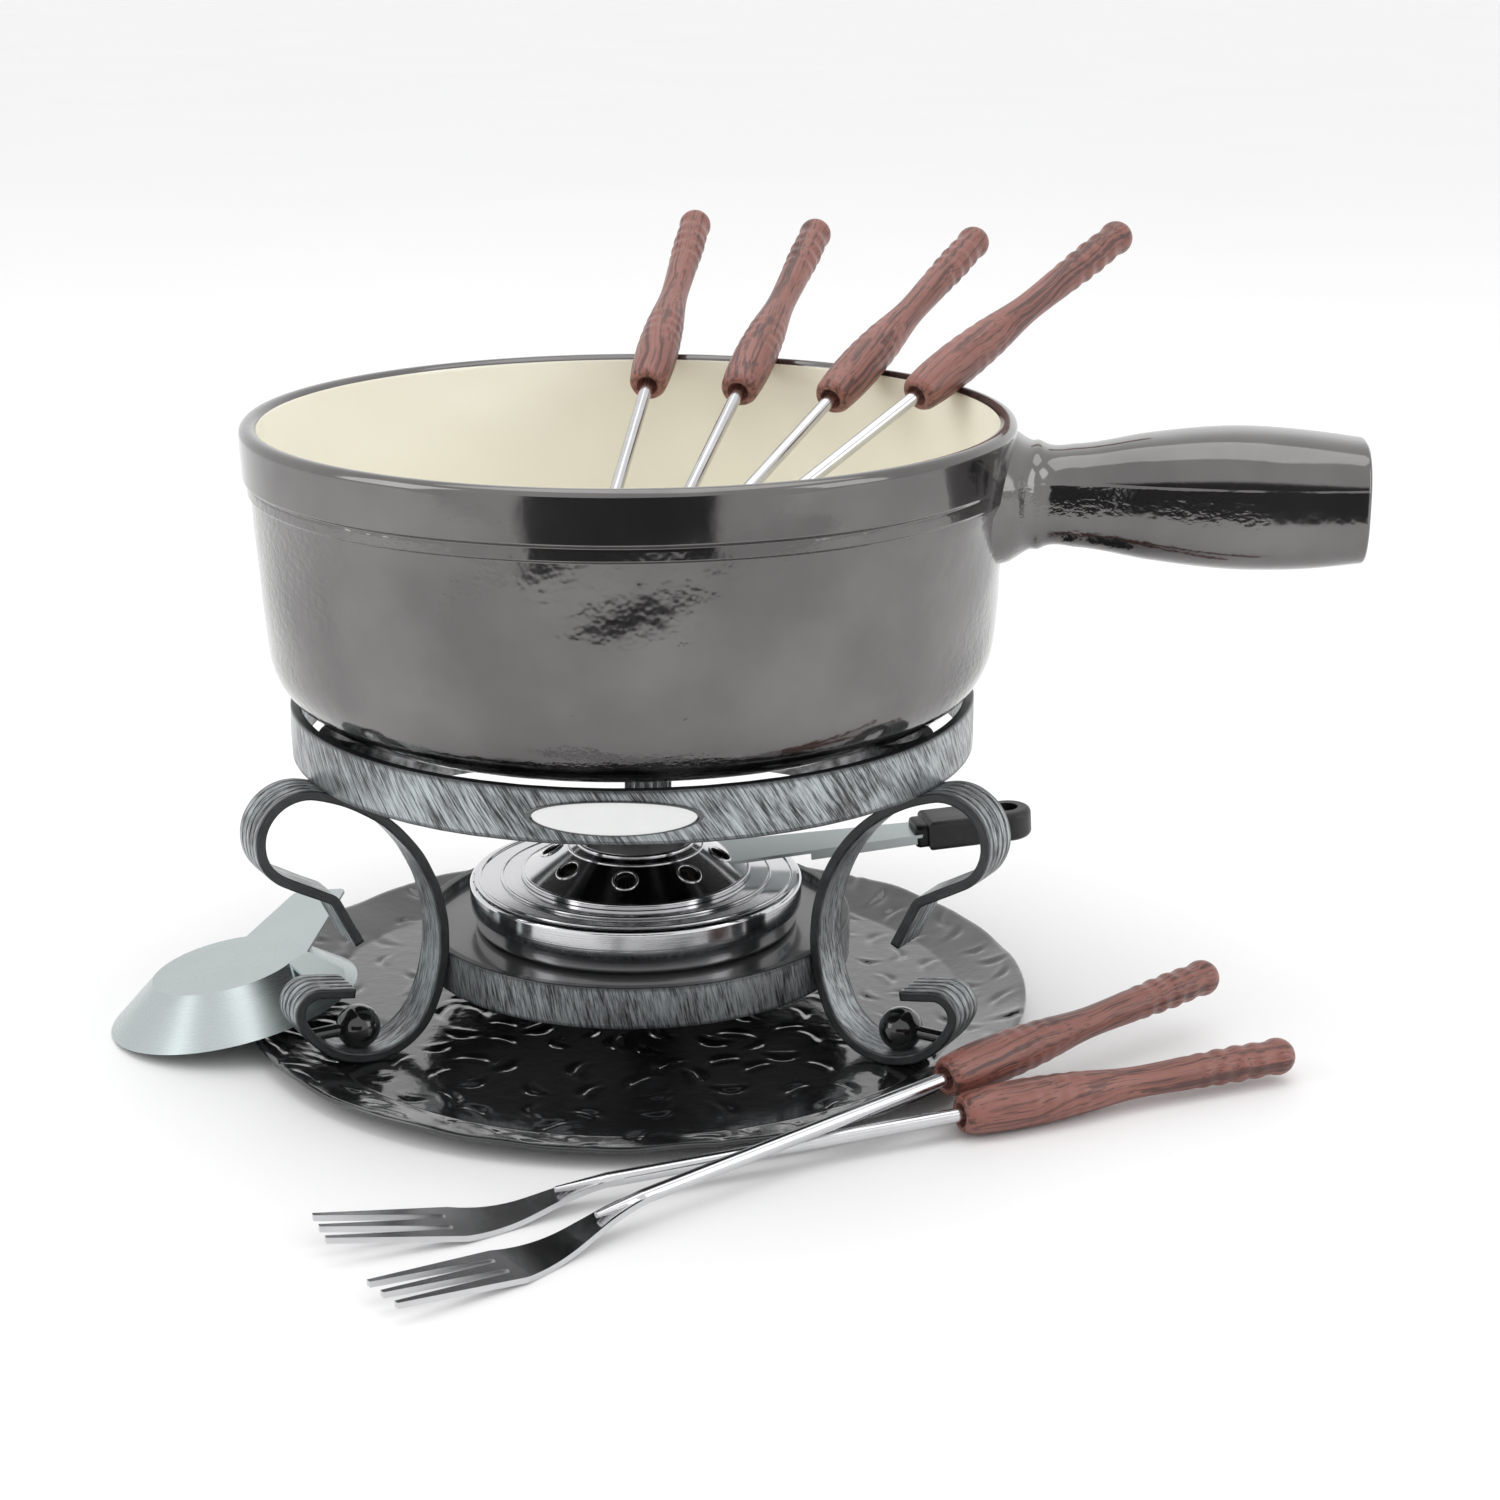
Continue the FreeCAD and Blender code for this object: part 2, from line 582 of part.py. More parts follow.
def make_lever(regulator):
    """Tapering lever of sheet, its long edges folded down past the cover."""
    x0, x1 = LEVER_START_R - 4.0, LEVER_END_R + GRIP_LENGTH / 2
    y0, y1 = lever_width(x0) / 2, lever_width(LEVER_END_R) / 2
    top = polygon_prism([(x0, -y0), (x1, -y1), (x1, y1), (x0, y0)], -LEVER_SHEET, LEVER_SHEET)
    flanges = []
    for side in (-1, 1):
        a, b = LEVER_FLANGE_R, LEVER_END_R
        ya, yb = side * lever_width(a) / 2, side * lever_width(b) / 2
        t = side * LEVER_SHEET
        outline = [(a, ya - t), (a, ya), (b, yb), (b, yb - t)]
        flanges.append(polygon_prism(outline, -LEVER_FLANGE, LEVER_FLANGE))
    lever = lever_frame(top.multiFuse(flanges))
    clear_z = cover_top + BURNER_BEAD + FIT
    clear_r = 1.2 * BURNER_R
    keep_out = turned((0, cover_top - EPS), (clear_r, cover_top - EPS), (clear_r, clear_z),
                      (REGULATOR_LIP_R + FIT, clear_z), (REGULATOR_LIP_R, cone_z(REGULATOR_LIP_R)),
                      (REGULATOR_MOUTH_R, cone_z(REGULATOR_MOUTH_R)), (0, cone_z(REGULATOR_MOUTH_R)))
    solids = lever.cut(keep_out).cut(regulator).Solids
    return max(solids, key=lambda s: s.Volume)


def make_grip(lever):
    """Black grip pushed over the end of the lever, with a hanging eye."""
    x0 = LEVER_END_R - 4.0
    x1 = x0 + GRIP_LENGTH
    block = Part.makeBox(GRIP_LENGTH - GRIP_WIDTH / 2, GRIP_WIDTH, GRIP_HEIGHT,
                         Vector(x0, -GRIP_WIDTH / 2, -GRIP_HEIGHT / 2 - LEVER_SHEET))
    round_end = Part.makeCylinder(GRIP_WIDTH / 2, GRIP_HEIGHT,
                                  Vector(x1 - GRIP_WIDTH / 2, 0, -GRIP_HEIGHT / 2 - LEVER_SHEET))
    body = block.fuse(round_end).removeSplitter()
    rims = [e for e in body.Edges if e.BoundBox.ZLength < EPS]
    body = body.makeFillet(GRIP_CORNER_R, rims)
    eye_x = x1 - GRIP_WIDTH / 2
    eye = Part.makeCylinder(GRIP_EYE_R, 3 * GRIP_HEIGHT, Vector(eye_x, 0, -1.5 * GRIP_HEIGHT))
    return one_solid(lever_frame(body.cut(eye)).cut(lever))


# ---------------------------------------------------------------- forks
def make_fork_handle():
    """Turned handle along +X from its butt: ball end, finger ripples, waist, bulge and a bored mouth."""
    r = FORK_BALL_R
    neck_x = 1.75 * r
    points = [(neck_x, 0.86 * r)]
    for k in range(RIPPLES):
        crest_x = neck_x + RIPPLE_PITCH * (k + 0.57)
        points += [(crest_x, r - 0.1 * k), (crest_x + RIPPLE_PITCH / 2, 0.9 * r - 0.12 * k)]
    points += [(0.50 * FORK_HANDLE, 0.84 * r), (0.68 * FORK_HANDLE, 0.93 * FORK_BULGE_R),
               (FORK_BULGE_AT * FORK_HANDLE, FORK_BULGE_R), (0.95 * FORK_HANDLE, 0.93 * FORK_BULGE_R),
               (FORK_HANDLE, FORK_MOUTH_R)]
    curve = Part.BSplineCurve()
    curve.interpolate([Vector(x, 0, y) for x, y in points])
    start = points[0]
    ball = Part.Arc(Vector(0, 0, 0), Vector(r / 2, 0, r * math.sin(math.radians(60))),
                    Vector(start[0], 0, start[1])).toShape()
    mouth = Part.makeLine(Vector(FORK_HANDLE, 0, FORK_MOUTH_R), Vector(FORK_HANDLE, 0, 0))
    axis = Part.makeLine(Vector(FORK_HANDLE, 0, 0), Vector(0, 0, 0))
    face = Part.Face(Part.Wire([ball, curve.toShape(), mouth, axis]))
    body = face.revolve(Vector(0, 0, 0), Vector(1, 0, 0), 360)
    for radius, depth in ((SHAFT_R, HANDLE_SOCKET), (RECESS_R, RECESS_DEPTH)):
        low = Vector(FORK_HANDLE - depth, 0, 0)
        body = body.cut(Part.makeCylinder(radius, depth + EPS, low, Vector(1, 0, 0)))
    return one_solid(body)


def make_fork_shaft():
    """Round shaft flattened into a head with three tapering tines."""
    rod_end = HEAD_START + 4.0
    start = FORK_HANDLE - HANDLE_SOCKET
    rod = Part.makeCylinder(SHAFT_R, rod_end - start, Vector(start, 0, 0), Vector(1, 0, 0))
    nose = Part.makeCone(SHAFT_R, FORK_SHEET / 2, 14.0, Vector(rod_end, 0, 0), Vector(1, 0, 0))
    side = strip((HEAD_START, 0), 0, HEAD_BEND, FORK_SHEET, 3 * HEAD_HALF_WIDTH)
    neck_middle = (HEAD_START + TINE_ROOT) / 2
    edges = []
    for sign in (-1, 1):
        a = Vector(HEAD_START, sign * SHAFT_R, 0)
        b = Vector(neck_middle, sign * (0.38 * HEAD_HALF_WIDTH + 0.62 * SHAFT_R), 0)
        c = Vector(TINE_ROOT - 3.0, sign * HEAD_HALF_WIDTH, 0)
        d = Vector(FORK_LENGTH, sign * TIP_HALF_WIDTH, 0)
        edges.append((Part.Arc(a, b, c).toShape(), Part.makeLine(c, d)))
    low, high = edges
    back = Part.makeLine(Vector(HEAD_START, SHAFT_R, 0), Vector(HEAD_START, -SHAFT_R, 0))
    front = Part.makeLine(Vector(FORK_LENGTH, -TIP_HALF_WIDTH, 0), Vector(FORK_LENGTH, TIP_HALF_WIDTH, 0))
    plan = Part.Face(Part.Wire([low[0], low[1], front, high[1], high[0], back]))
    depth = 40.0
    head = side.common(plan.extrude(Vector(0, 0, depth)).translated(Vector(0, 0, -depth / 2)))
    pitch = TIP_HALF_WIDTH - TINE_TIP / 2
    half_tip = (pitch - TINE_TIP) / 2
    for y in (-pitch / 2, pitch / 2):
        slot = polygon_prism([(TINE_ROOT, y - SLOT_R), (FORK_LENGTH + 1, y - half_tip),
                              (FORK_LENGTH + 1, y + half_tip), (TINE_ROOT, y + SLOT_R)], -depth / 2, depth)
        end = Part.makeCylinder(SLOT_R, depth, Vector(TINE_ROOT, y, -depth / 2))
        head = head.cut(slot).cut(end)
    neck = nose.common(Part.makeBox(16.0, 2 * SHAFT_R, 2 * SHAFT_R, Vector(rod_end, -SHAFT_R, -SHAFT_R)))
    return one_solid(head.fuse(rod).fuse(neck))


def fork_matrix(butt, heading, climb):
    """Placement of a fork whose butt is at a point, pointing along a heading and climbing by an angle."""
    h, c = math.radians(heading), math.radians(climb)
    along = Vector(math.cos(h) * math.cos(c), math.sin(h) * math.cos(c), math.sin(c))
    across = Vector(-math.sin(h), math.cos(h), 0)
    up = along.cross(across)
    return Matrix(along.x, across.x, up.x, butt.x, along.y, across.y, up.y, butt.y,
                  along.z, across.z, up.z, butt.z, 0, 0, 0, 1)


def pot_fork_matrix(rim_azimuth, heading, contact, tip_height):
    """A fork whose handle lies on the rim, with its tips this far above the pot's floor."""
    half = POT_WALL / 2
    lift = half + FORK_BULGE_R + FIT
    tip_z = floor_inside_z + tip_height
    reach = FORK_LENGTH - contact
    climb = 0.0
    for _ in range(8):
        contact_z = rim_z - half + lift / math.cos(climb)
        climb = math.asin((contact_z - tip_z) / reach)
    on_rim = polar(POT_R - half, rim_azimuth, contact_z)
    h = math.radians(heading)
    along = Vector(math.cos(h) * math.cos(climb), math.sin(h) * math.cos(climb), -math.sin(climb))
    return fork_matrix(on_rim - along * contact, heading, -math.degrees(climb))


def beside_tray(heading, gap, along):
    """Where the butt of a fork lies whose shaft passes the tray's edge at a gap."""
    h, off = math.radians(heading), TRAY_R + gap
    return along * math.cos(h) - off * math.sin(h), along * math.sin(h) + off * math.cos(h)


def table_fork_matrices():
    """The first fork lies on its bulge and its belly, the second on the first's shaft and its own belly."""
    bend, run, rise = HEAD_BEND[:3]
    (belly_x, belly_dip), _ = reached((HEAD_START, 0), 0, [bend, run, (rise[0], -bend[1])])
    belly_z = FORK_SHEET / 2 - belly_dip + TABLE_GAP
    bulge_x = FORK_BULGE_AT * FORK_HANDLE
    bulge_z = FORK_BULGE_R + TABLE_GAP
    (x1, y1), (x2, y2) = (beside_tray(*place) for place in TABLE_FORKS)
    heading1, heading2 = (place[0] for place in TABLE_FORKS)
    slope1 = (belly_z - bulge_z) / (belly_x - bulge_x)
    butt1 = Vector(x1, y1, bulge_z - slope1 * bulge_x)
    a, b = math.radians(heading1), math.radians(heading2)
    turn = math.sin(b - a)
    cross1 = ((x2 - x1) * math.sin(b) - (y2 - y1) * math.cos(b)) / turn
    cross2 = ((x2 - x1) * math.sin(a) - (y2 - y1) * math.cos(a)) / turn
    cross_z = butt1.z + slope1 * cross1 + 2 * SHAFT_R + FIT
    slope2 = (belly_z - cross_z) / (belly_x - cross2)
    butt2 = Vector(x2, y2, cross_z - slope2 * cross2)
    return [fork_matrix(butt1, heading1, math.degrees(math.atan(slope1))),
            fork_matrix(butt2, heading2, math.degrees(math.atan(slope2)))]


def fork_matrices():
    return [pot_fork_matrix(*place) for place in POT_FORKS] + table_fork_matrices()


# ---------------------------------------------------------------- snuffer
def snuffer_place(shape):
    """Leans the snuffer on the tray's lip: its low edge on the table, its other side over the tray."""
    off = math.hypot(SNUFFER_X, SNUFFER_Y)
    mouth = SNUFFER_RIM_R - SNUFFER_SHEET * math.hypot(1, snuffer_slope)
    # The mouth's inner edge crosses the lip at two places; it rests on the one nearer its low edge.
    spread = math.degrees(math.acos((off ** 2 + mouth ** 2 - TRAY_R ** 2) / (2 * off * mouth)))
    inwards = math.degrees(math.atan2(-SNUFFER_Y, -SNUFFER_X))
    reach = min(mouth * math.cos(math.radians(inwards + side * spread - SNUFFER_TILT_AZIMUTH - 180))
                for side in (-1, 1))
    tilt = math.degrees(math.asin((TRAY_RISE + TRAY_SHEET + FIT) / (SNUFFER_RIM_R + reach)))
    low = polar(SNUFFER_RIM_R, SNUFFER_TILT_AZIMUTH)
    shape.rotate(low, polar(1, SNUFFER_TILT_AZIMUTH + 90), tilt)
    shape.translate(Vector(SNUFFER_X, SNUFFER_Y, TABLE_GAP))
    return shape


def make_snuffer_cap():
    """Shallow cone of sheet, mouth down, closed by a flat top."""
    t = SNUFFER_SHEET
    h = SNUFFER_DEPTH
    inside_top = SNUFFER_TOP_R - t * (math.hypot(1, snuffer_slope) - snuffer_slope)
    inside_rim = SNUFFER_RIM_R - t * math.hypot(1, snuffer_slope)
    cap = turned((inside_rim, 0), (SNUFFER_RIM_R, 0), (SNUFFER_TOP_R, h), (0, h), (0, h - t),
                 (inside_top, h - t))
    return snuffer_place(cap)


def rounded_plate(points, square, bottom, height):
    """Flat plate on a polygon, all but its first square corners rounded."""
    plate = polygon_prism(points, bottom, height)
    rounded = [e for e in plate.Edges if e.Length <= height + EPS and e.BoundBox.ZLength > height / 2
               and min(math.dist((e.BoundBox.XMin, e.BoundBox.YMin), p) for p in points[square:]) < EPS]
    return plate.makeFillet(SNUFFER_CORNER_R, rounded)


def make_snuffer_lever(cap):
    """Tapering lever flush with the top, and its bent lug."""
    bottom = SNUFFER_DEPTH - SNUFFER_SHEET
    lever = rounded_plate(SNUFFER_LEVER, 5, bottom, SNUFFER_SHEET)
    lug = rounded_plate(SNUFFER_LUG, 2, bottom, SNUFFER_SHEET)
    (x1, y1), (x2, y2) = SNUFFER_LUG[:2]
    lug.rotate(Vector(x1, y1, SNUFFER_DEPTH), Vector(x1 - x2, y1 - y2, 0), SNUFFER_LUG_DROP)
    return one_solid(snuffer_place(lever.fuse(lug)).cut(cap))


# ---------------------------------------------------------------- build and write
def build():
    parts = {}
    parts["tray"] = make_tray()
    upper, lower = make_upper_ring(), make_lower_ring()
    parts["upper_ring"] = upper
    parts["lower_ring"] = lower
    parts["burner_plate"] = make_burner_plate()
    rings = upper.fuse(lower)
    for k, azimuth in enumerate(LEG_AZIMUTHS, 1):
        parts["leg_%d" % k] = make_leg(azimuth, rings)
        parts["ball_%d" % k] = make_ball(azimuth, parts["leg_%d" % k])
        parts["pot_support_%d" % k] = make_support(azimuth).cut(upper)
    parts["badge"] = make_badge()
    parts["pot"] = make_pot()
    parts["burner_base"] = make_burner_base()
    parts["fuel_cup"] = make_fuel_cup()
    parts["fuel_pad"] = make_fuel_pad()
    parts["burner_gauze"] = make_gauze()
    parts["burner_cover"] = make_burner_cover()
    parts["regulator"] = make_regulator()
    parts["regulator_lever"] = make_lever(parts["regulator"])
    parts["regulator_grip"] = make_grip(parts["regulator_lever"])
    handle, shaft = make_fork_handle(), make_fork_shaft()
    for k, matrix in enumerate(fork_matrices(), 1):
        parts["fork_handle_%d" % k] = placed(handle, matrix)
        parts["fork_shaft_%d" % k] = placed(shaft, matrix)
    parts["snuffer_cap"] = make_snuffer_cap()
    parts["snuffer_lever"] = make_snuffer_lever(parts["snuffer_cap"])
    return parts


os.makedirs("parts", exist_ok=True)
for node, shape in build().items():
    shape.exportStep("parts/%s.step" % node)
    box = shape.BoundBox
    print("%-18s solids %d valid %s volume %9.1f  z %7.2f to %7.2f" % (
        node, len(shape.Solids), shape.isValid(), shape.Volume, box.ZMin, box.ZMax))
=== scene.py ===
# %% [markdown]
# # A cast-iron fondue set
# The set is an enamelled pot on a stand of scrolled strip iron, with a spirit burner below it, a hammered
# tray under everything, a snuffer leaning on the tray, four forks in the pot and two on the table.  The
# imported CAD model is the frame: every piece here takes its place from it and rides on one of its bodies.

# %% Load the frame
import math
import bmesh
import bpy
import numpy as np
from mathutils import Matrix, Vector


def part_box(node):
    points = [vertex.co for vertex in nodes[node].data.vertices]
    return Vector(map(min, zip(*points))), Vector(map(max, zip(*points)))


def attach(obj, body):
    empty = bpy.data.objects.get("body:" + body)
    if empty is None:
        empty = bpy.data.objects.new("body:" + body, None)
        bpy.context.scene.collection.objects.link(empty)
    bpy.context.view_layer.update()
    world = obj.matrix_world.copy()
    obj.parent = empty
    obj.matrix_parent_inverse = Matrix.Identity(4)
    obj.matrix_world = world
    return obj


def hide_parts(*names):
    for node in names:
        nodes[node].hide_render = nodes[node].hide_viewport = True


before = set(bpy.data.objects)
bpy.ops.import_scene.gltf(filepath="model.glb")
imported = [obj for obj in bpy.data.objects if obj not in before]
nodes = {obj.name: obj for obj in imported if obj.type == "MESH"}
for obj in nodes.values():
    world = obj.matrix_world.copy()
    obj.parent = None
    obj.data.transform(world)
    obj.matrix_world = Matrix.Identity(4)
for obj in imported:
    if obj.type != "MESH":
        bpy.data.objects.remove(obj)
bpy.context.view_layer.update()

# %% [markdown]
# ## Surfaces from numbers
# Nearly every part of the set is a profile turned about an axis or carried along a path.  Each one is
# worked out as a grid of points, rows along the path and columns round the profile.  A grid can close on
# itself either way, and its faces follow from its shape alone, so one function can make every mesh.

# %% Grid to mesh
def grid_faces(rows, columns, loop_rows, loop_columns):
    """Corner numbers of every quad between neighbouring rows and columns, wrapped where the grid closes."""
    i = np.arange(rows if loop_rows else rows - 1)[:, None]
    j = np.arange(columns if loop_columns else columns - 1)[None, :]
    next_i, next_j = (i + 1) % rows, (j + 1) % columns
    corners = [i * columns + j, i * columns + next_j, next_i * columns + next_j, next_i * columns + j]
    return np.stack(np.broadcast_arrays(*corners), -1).reshape(-1, 4)


def make_mesh(name, grids, body, replaced=()):
    """One piece from grids of (points, pattern, loop_rows, loop_columns): joins them, merges poles and seams,
    and turns every closed shell's faces outwards."""
    points, patterns, faces, start = [], [], [], 0
    for grid, pattern, loop_rows, loop_columns in grids:
        rows, columns = grid.shape[:2]
        faces.append(grid_faces(rows, columns, loop_rows, loop_columns) + start)
        points.append(grid.reshape(-1, 3))
        patterns.append(np.broadcast_to(pattern, grid.shape).reshape(-1, 3))
        start += rows * columns
    mesh = bpy.data.meshes.new(name)
    mesh.from_pydata(np.concatenate(points).tolist(), [], np.concatenate(faces).tolist())
    mesh.attributes.new("pattern", "FLOAT_VECTOR", "POINT").data.foreach_set(
        "vector", np.concatenate(patterns).astype(np.float32).ravel())
    work = bmesh.new()
    work.from_mesh(mesh)
    bmesh.ops.remove_doubles(work, verts=work.verts, dist=2e-6)
    bmesh.ops.recalc_face_normals(work, faces=work.faces)
    work.to_mesh(mesh)
    work.free()
    mesh.polygons.foreach_set("use_smooth", np.ones(len(mesh.polygons), bool))
    piece = bpy.data.objects.new(name, mesh)
    bpy.context.scene.collection.objects.link(piece)
    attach(piece, body)
    if replaced:
        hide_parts(*replaced)
    print(name, "has", len(mesh.polygons), "faces")
    return piece


# %% [markdown]
# ## Profiles
# A drawn profile is a few corners with a radius at each.  Rounding the corners by an arc is what a real
# press, roller or casting does, and it is what catches the light along an edge.  Two extra points beside
# each arc keep the smooth shading tight, so flat faces still look flat.

# %% Rounded profiles and turning
def rounded(corners, steps=5, closed=True):
    """Corners (x, z, radius) to points: each corner becomes an arc tangent to both of its sides."""
    c = np.array(corners, float)
    count = len(c)
    out = []
    for k in range(count):
        here, r = c[k, :2], c[k, 2]
        if r <= 0 or (not closed and k in (0, count - 1)):
            out.append(here)
            continue
        a, b = c[k - 1, :2] - here, c[(k + 1) % count, :2] - here
        room_a, room_b = np.linalg.norm(a), np.linalg.norm(b)
        a, b = a / room_a, b / room_b
        half = math.acos(np.clip(np.dot(a, b), -1, 1)) / 2
        back = min(r / math.tan(half), 0.49 * room_a, 0.49 * room_b)
        radius = back * math.tan(half)
        middle = here + (a + b) / np.linalg.norm(a + b) * radius / math.sin(half)
        first, last = here + a * back - middle, here + b * back - middle
        turn = math.atan2(first[0] * last[1] - first[1] * last[0], np.dot(first, last))
        t = np.linspace(0, turn, steps)
        arc = np.stack([first[0] * np.cos(t) - first[1] * np.sin(t),
                        first[0] * np.sin(t) + first[1] * np.cos(t)], -1) + middle
        before = here + a * min(back * 1.25, 0.5 * room_a)
        after = here + b * min(back * 1.25, 0.5 * room_b)
        out += [before, *arc, after]
    return np.array(out)


def turned(profile, around=192, shape=None):
    """Grid of a profile (r, z) turned about Z; shape(r, angle, z) may push points, giving new r and z."""
    angle = np.linspace(0, 2 * np.pi, around, endpoint=False)[:, None]
    r, z = profile[None, :, 0] + 0 * angle, profile[None, :, 1] + 0 * angle
    if shape is not None:
        r, z = shape(r, angle, z)
    return np.stack([r * np.cos(angle), r * np.sin(angle), z], -1)


# %% [markdown]
# ## Shader maths
# A node material is easier to read as arithmetic.  The class below wraps a socket, so `mask * 0.5 + 0.2`
# adds the Math nodes for it.  One method adds any other node from its type, its settings and its sockets'
# values.

# %% The shader class
class Shade:
    """A value in a material's node tree."""

    def __init__(self, tree, socket=None):
        self.tree = tree
        self.socket = socket

    def node(self, kind, settings=None, sockets=None, output=0):
        """Adds a node: settings first, then the value or link of each named socket; gives one output."""
        made = self.tree.nodes.new(kind)
        for key, value in (settings or {}).items():
            if key == "stops":
                ramp = made.color_ramp
                while len(ramp.elements) < len(value):
                    ramp.elements.new(0.5)
                for element, (place, colour) in zip(ramp.elements, value):
                    element.position = place
                    element.color = colour if len(colour) == 4 else (*colour, 1)
            else:
                setattr(made, key, value)
        for key, value in (sockets or {}).items():
            if isinstance(value, Shade):
                self.tree.links.new(value.socket, made.inputs[key])
            else:
                made.inputs[key].default_value = value
        return Shade(self.tree, made.outputs[output])

    def maths(self, operation, a, b=0.0):
        return self.node("ShaderNodeMath", {"operation": operation}, {0: a, 1: b})

    def __add__(self, other):
        return self.maths("ADD", self, other)

    def __sub__(self, other):
        return self.maths("SUBTRACT", self, other)

    def __rsub__(self, other):
        return self.maths("SUBTRACT", other, self)

    def __mul__(self, other):
        return self.maths("MULTIPLY", self, other)

    __radd__ = __add__
    __rmul__ = __mul__

    def step(self, low, high):
        """0 below low and 1 above high, smooth between them."""
        return self.node("ShaderNodeMapRange", {"interpolation_type": "SMOOTHSTEP"},
                         {"Value": self, "From Min": low, "From Max": high})

    def place(self):
        """The point's own place on the object, in metres."""
        return self.node("ShaderNodeTexCoord", output="Object")

    def pattern(self):
        """The piece's own pattern coordinates, in metres: along, across and through the stock."""
        return self.node("ShaderNodeAttribute", {"attribute_name": "pattern"}, output="Vector")

    def stretched(self, vector, scale, turn=(0, 0, 0)):
        """Turns a place and then stretches it, for scratches and grain."""
        turned_vector = self.node("ShaderNodeVectorRotate", {"rotation_type": "EULER_XYZ"},
                                  {"Vector": vector, "Rotation": turn})
        return self.node("ShaderNodeVectorMath", {"operation": "MULTIPLY"}, {0: turned_vector, 1: scale})

    def noise(self, vector, scale, detail=3.0, rough=0.55):
        """Soft noise, 0 to 1."""
        return self.node("ShaderNodeTexNoise", {}, {"Vector": vector, "Scale": scale, "Detail": detail,
                                                    "Roughness": rough})

    def part(self, vector, axis):
        """One of a vector's three numbers."""
        return self.node("ShaderNodeSeparateXYZ", sockets={0: vector}, output=axis)

    def blend(self, factor, a, b):
        """Colour a where factor is 0, b where it is 1."""
        return self.node("ShaderNodeMix", {"data_type": "RGBA"}, {"Factor": factor, 6: a, 7: b}, output=2)

    def bump(self, height, distance, strength=1.0, under=None):
        sockets = {"Height": height, "Distance": distance, "Strength": strength}
        if under is not None:
            sockets["Normal"] = under
        return self.node("ShaderNodeBump", {}, sockets)


def finish(name, recipe):
    """Material whose shader sockets are filled by recipe(shade), a dict of values and links."""
    material = bpy.data.materials.new(name)
    material.use_nodes = True
    shader = material.node_tree.nodes["Principled BSDF"]
    for key, value in recipe(Shade(material.node_tree)).items():
        if isinstance(value, Shade):
            material.node_tree.links.new(value.socket, shader.inputs[key])
        else:
            shader.inputs[key].default_value = value
    return material


def dress(things, material):
    """Gives pieces, or CAD nodes by name, one material all over."""
    for thing in things:
        mesh = (nodes[thing] if isinstance(thing, str) else thing).data
        mesh.materials.clear()
        mesh.materials.append(material)


def grey(level):
    return (level, level, level * 1.02, 1)


# %% [markdown]
# ## The tray
# The tray is one disc of sheet steel, pressed up at its edge, hammered by hand and enamelled gloss black.
# The hammer's edge leaves small crescents, each a little valley with a raised lip.  The crescents are
# real shape here: on a fine polar grid, every one lowers and raises the points near it.

# %% Hammered tray
low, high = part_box("tray")
tray_r, tray_top, sheet = high.x, high.z, 0.0012
floor_edge = 0.099                                   # where the floor turns up into the wall
rng = np.random.default_rng(7)


def crescents(count, r_low, r_high, gap):
    """Random places no nearer than gap, with a heading and a size each."""
    chosen = []
    while len(chosen) < count:
        r = math.sqrt(rng.uniform(r_low ** 2, r_high ** 2))
        a = rng.uniform(0, 2 * np.pi)
        spot = (r * math.cos(a), r * math.sin(a))
        if all(math.dist(spot, c[:2]) > gap for c in chosen):
            chosen.append((*spot, rng.uniform(0, 2 * np.pi), rng.uniform(0.65, 1.05)))
    return chosen


dents = crescents(200, 0.004, tray_r - 0.003, 0.0102)


def hammered(x, y):
    """Height of the hammering: for each crescent, a curved valley and the lip thrown up on its outside, both
    fading with distance along and across the mark."""
    height = np.zeros_like(x)
    for cx, cy, heading, size in dents:
        near = (np.abs(x - cx) < 0.011) & (np.abs(y - cy) < 0.011)
        dx, dy = x[near] - cx, y[near] - cy
        along = (dx * math.cos(heading) + dy * math.sin(heading)) / (0.0040 * size)
        across = (-dx * math.sin(heading) + dy * math.cos(heading)) / (0.0016 * size) - 0.55 * along ** 2
        fade = np.exp(-along ** 2)
        height[near] += fade * (0.00042 * np.exp(-(across - 1.1) ** 2)
                                - 0.00062 * np.exp(-(across + 0.5) ** 2))
    return height


def tray_height(r):
    """Floor flat to its edge, then a straight slope and a short level lip."""
    wall = np.clip((r - floor_edge) / (tray_r - 0.0016 - floor_edge), 0, 1)
    return (tray_top - sheet) * wall


rings = np.concatenate([np.linspace(0.0, 0.030, 36)[:-1], np.linspace(0.030, tray_r - 0.0004, 168)])
angles = np.linspace(0, 2 * np.pi, 560, endpoint=False)[:, None]
r = rings[None, :] + 0 * angles
lip = np.clip((r - floor_edge) / (tray_r - floor_edge), 0, 1)
wave = 0.00045 * np.sin(9 * angles + 1.0) + 0.0003 * np.sin(17 * angles) + 0.0002 * np.sin(31 * angles + 2)
x, y = r * np.cos(angles), r * np.sin(angles)
blows = hammered(x, y)
top_z = tray_height(r) + sheet + np.minimum(blows, 0.00018) - 0.0004 * lip + wave * lip ** 2 * 0.7
rim = np.linspace(0, np.pi, 7)[1:-1][None, :]
edge_z = top_z[:, -1:] - sheet / 2
edge_r = tray_r - 0.0006 + 0.0006 * np.sin(rim)
rim_xyz = np.stack([edge_r * np.cos(angles), edge_r * np.sin(angles), edge_z + sheet / 2 * np.cos(rim)], -1)
low_rings = rings[::-12]
under_r = low_rings[None, :] + 0 * angles
under_z = np.maximum(tray_height(under_r) - 0.0004 * np.clip((under_r - floor_edge) / 0.018, 0, 1), 0.0)
under_z[:, 0] = edge_z[:, 0] - sheet / 2
under = np.stack([under_r * np.cos(angles), under_r * np.sin(angles), under_z], -1)
centre = np.zeros((len(angles), 1, 3))
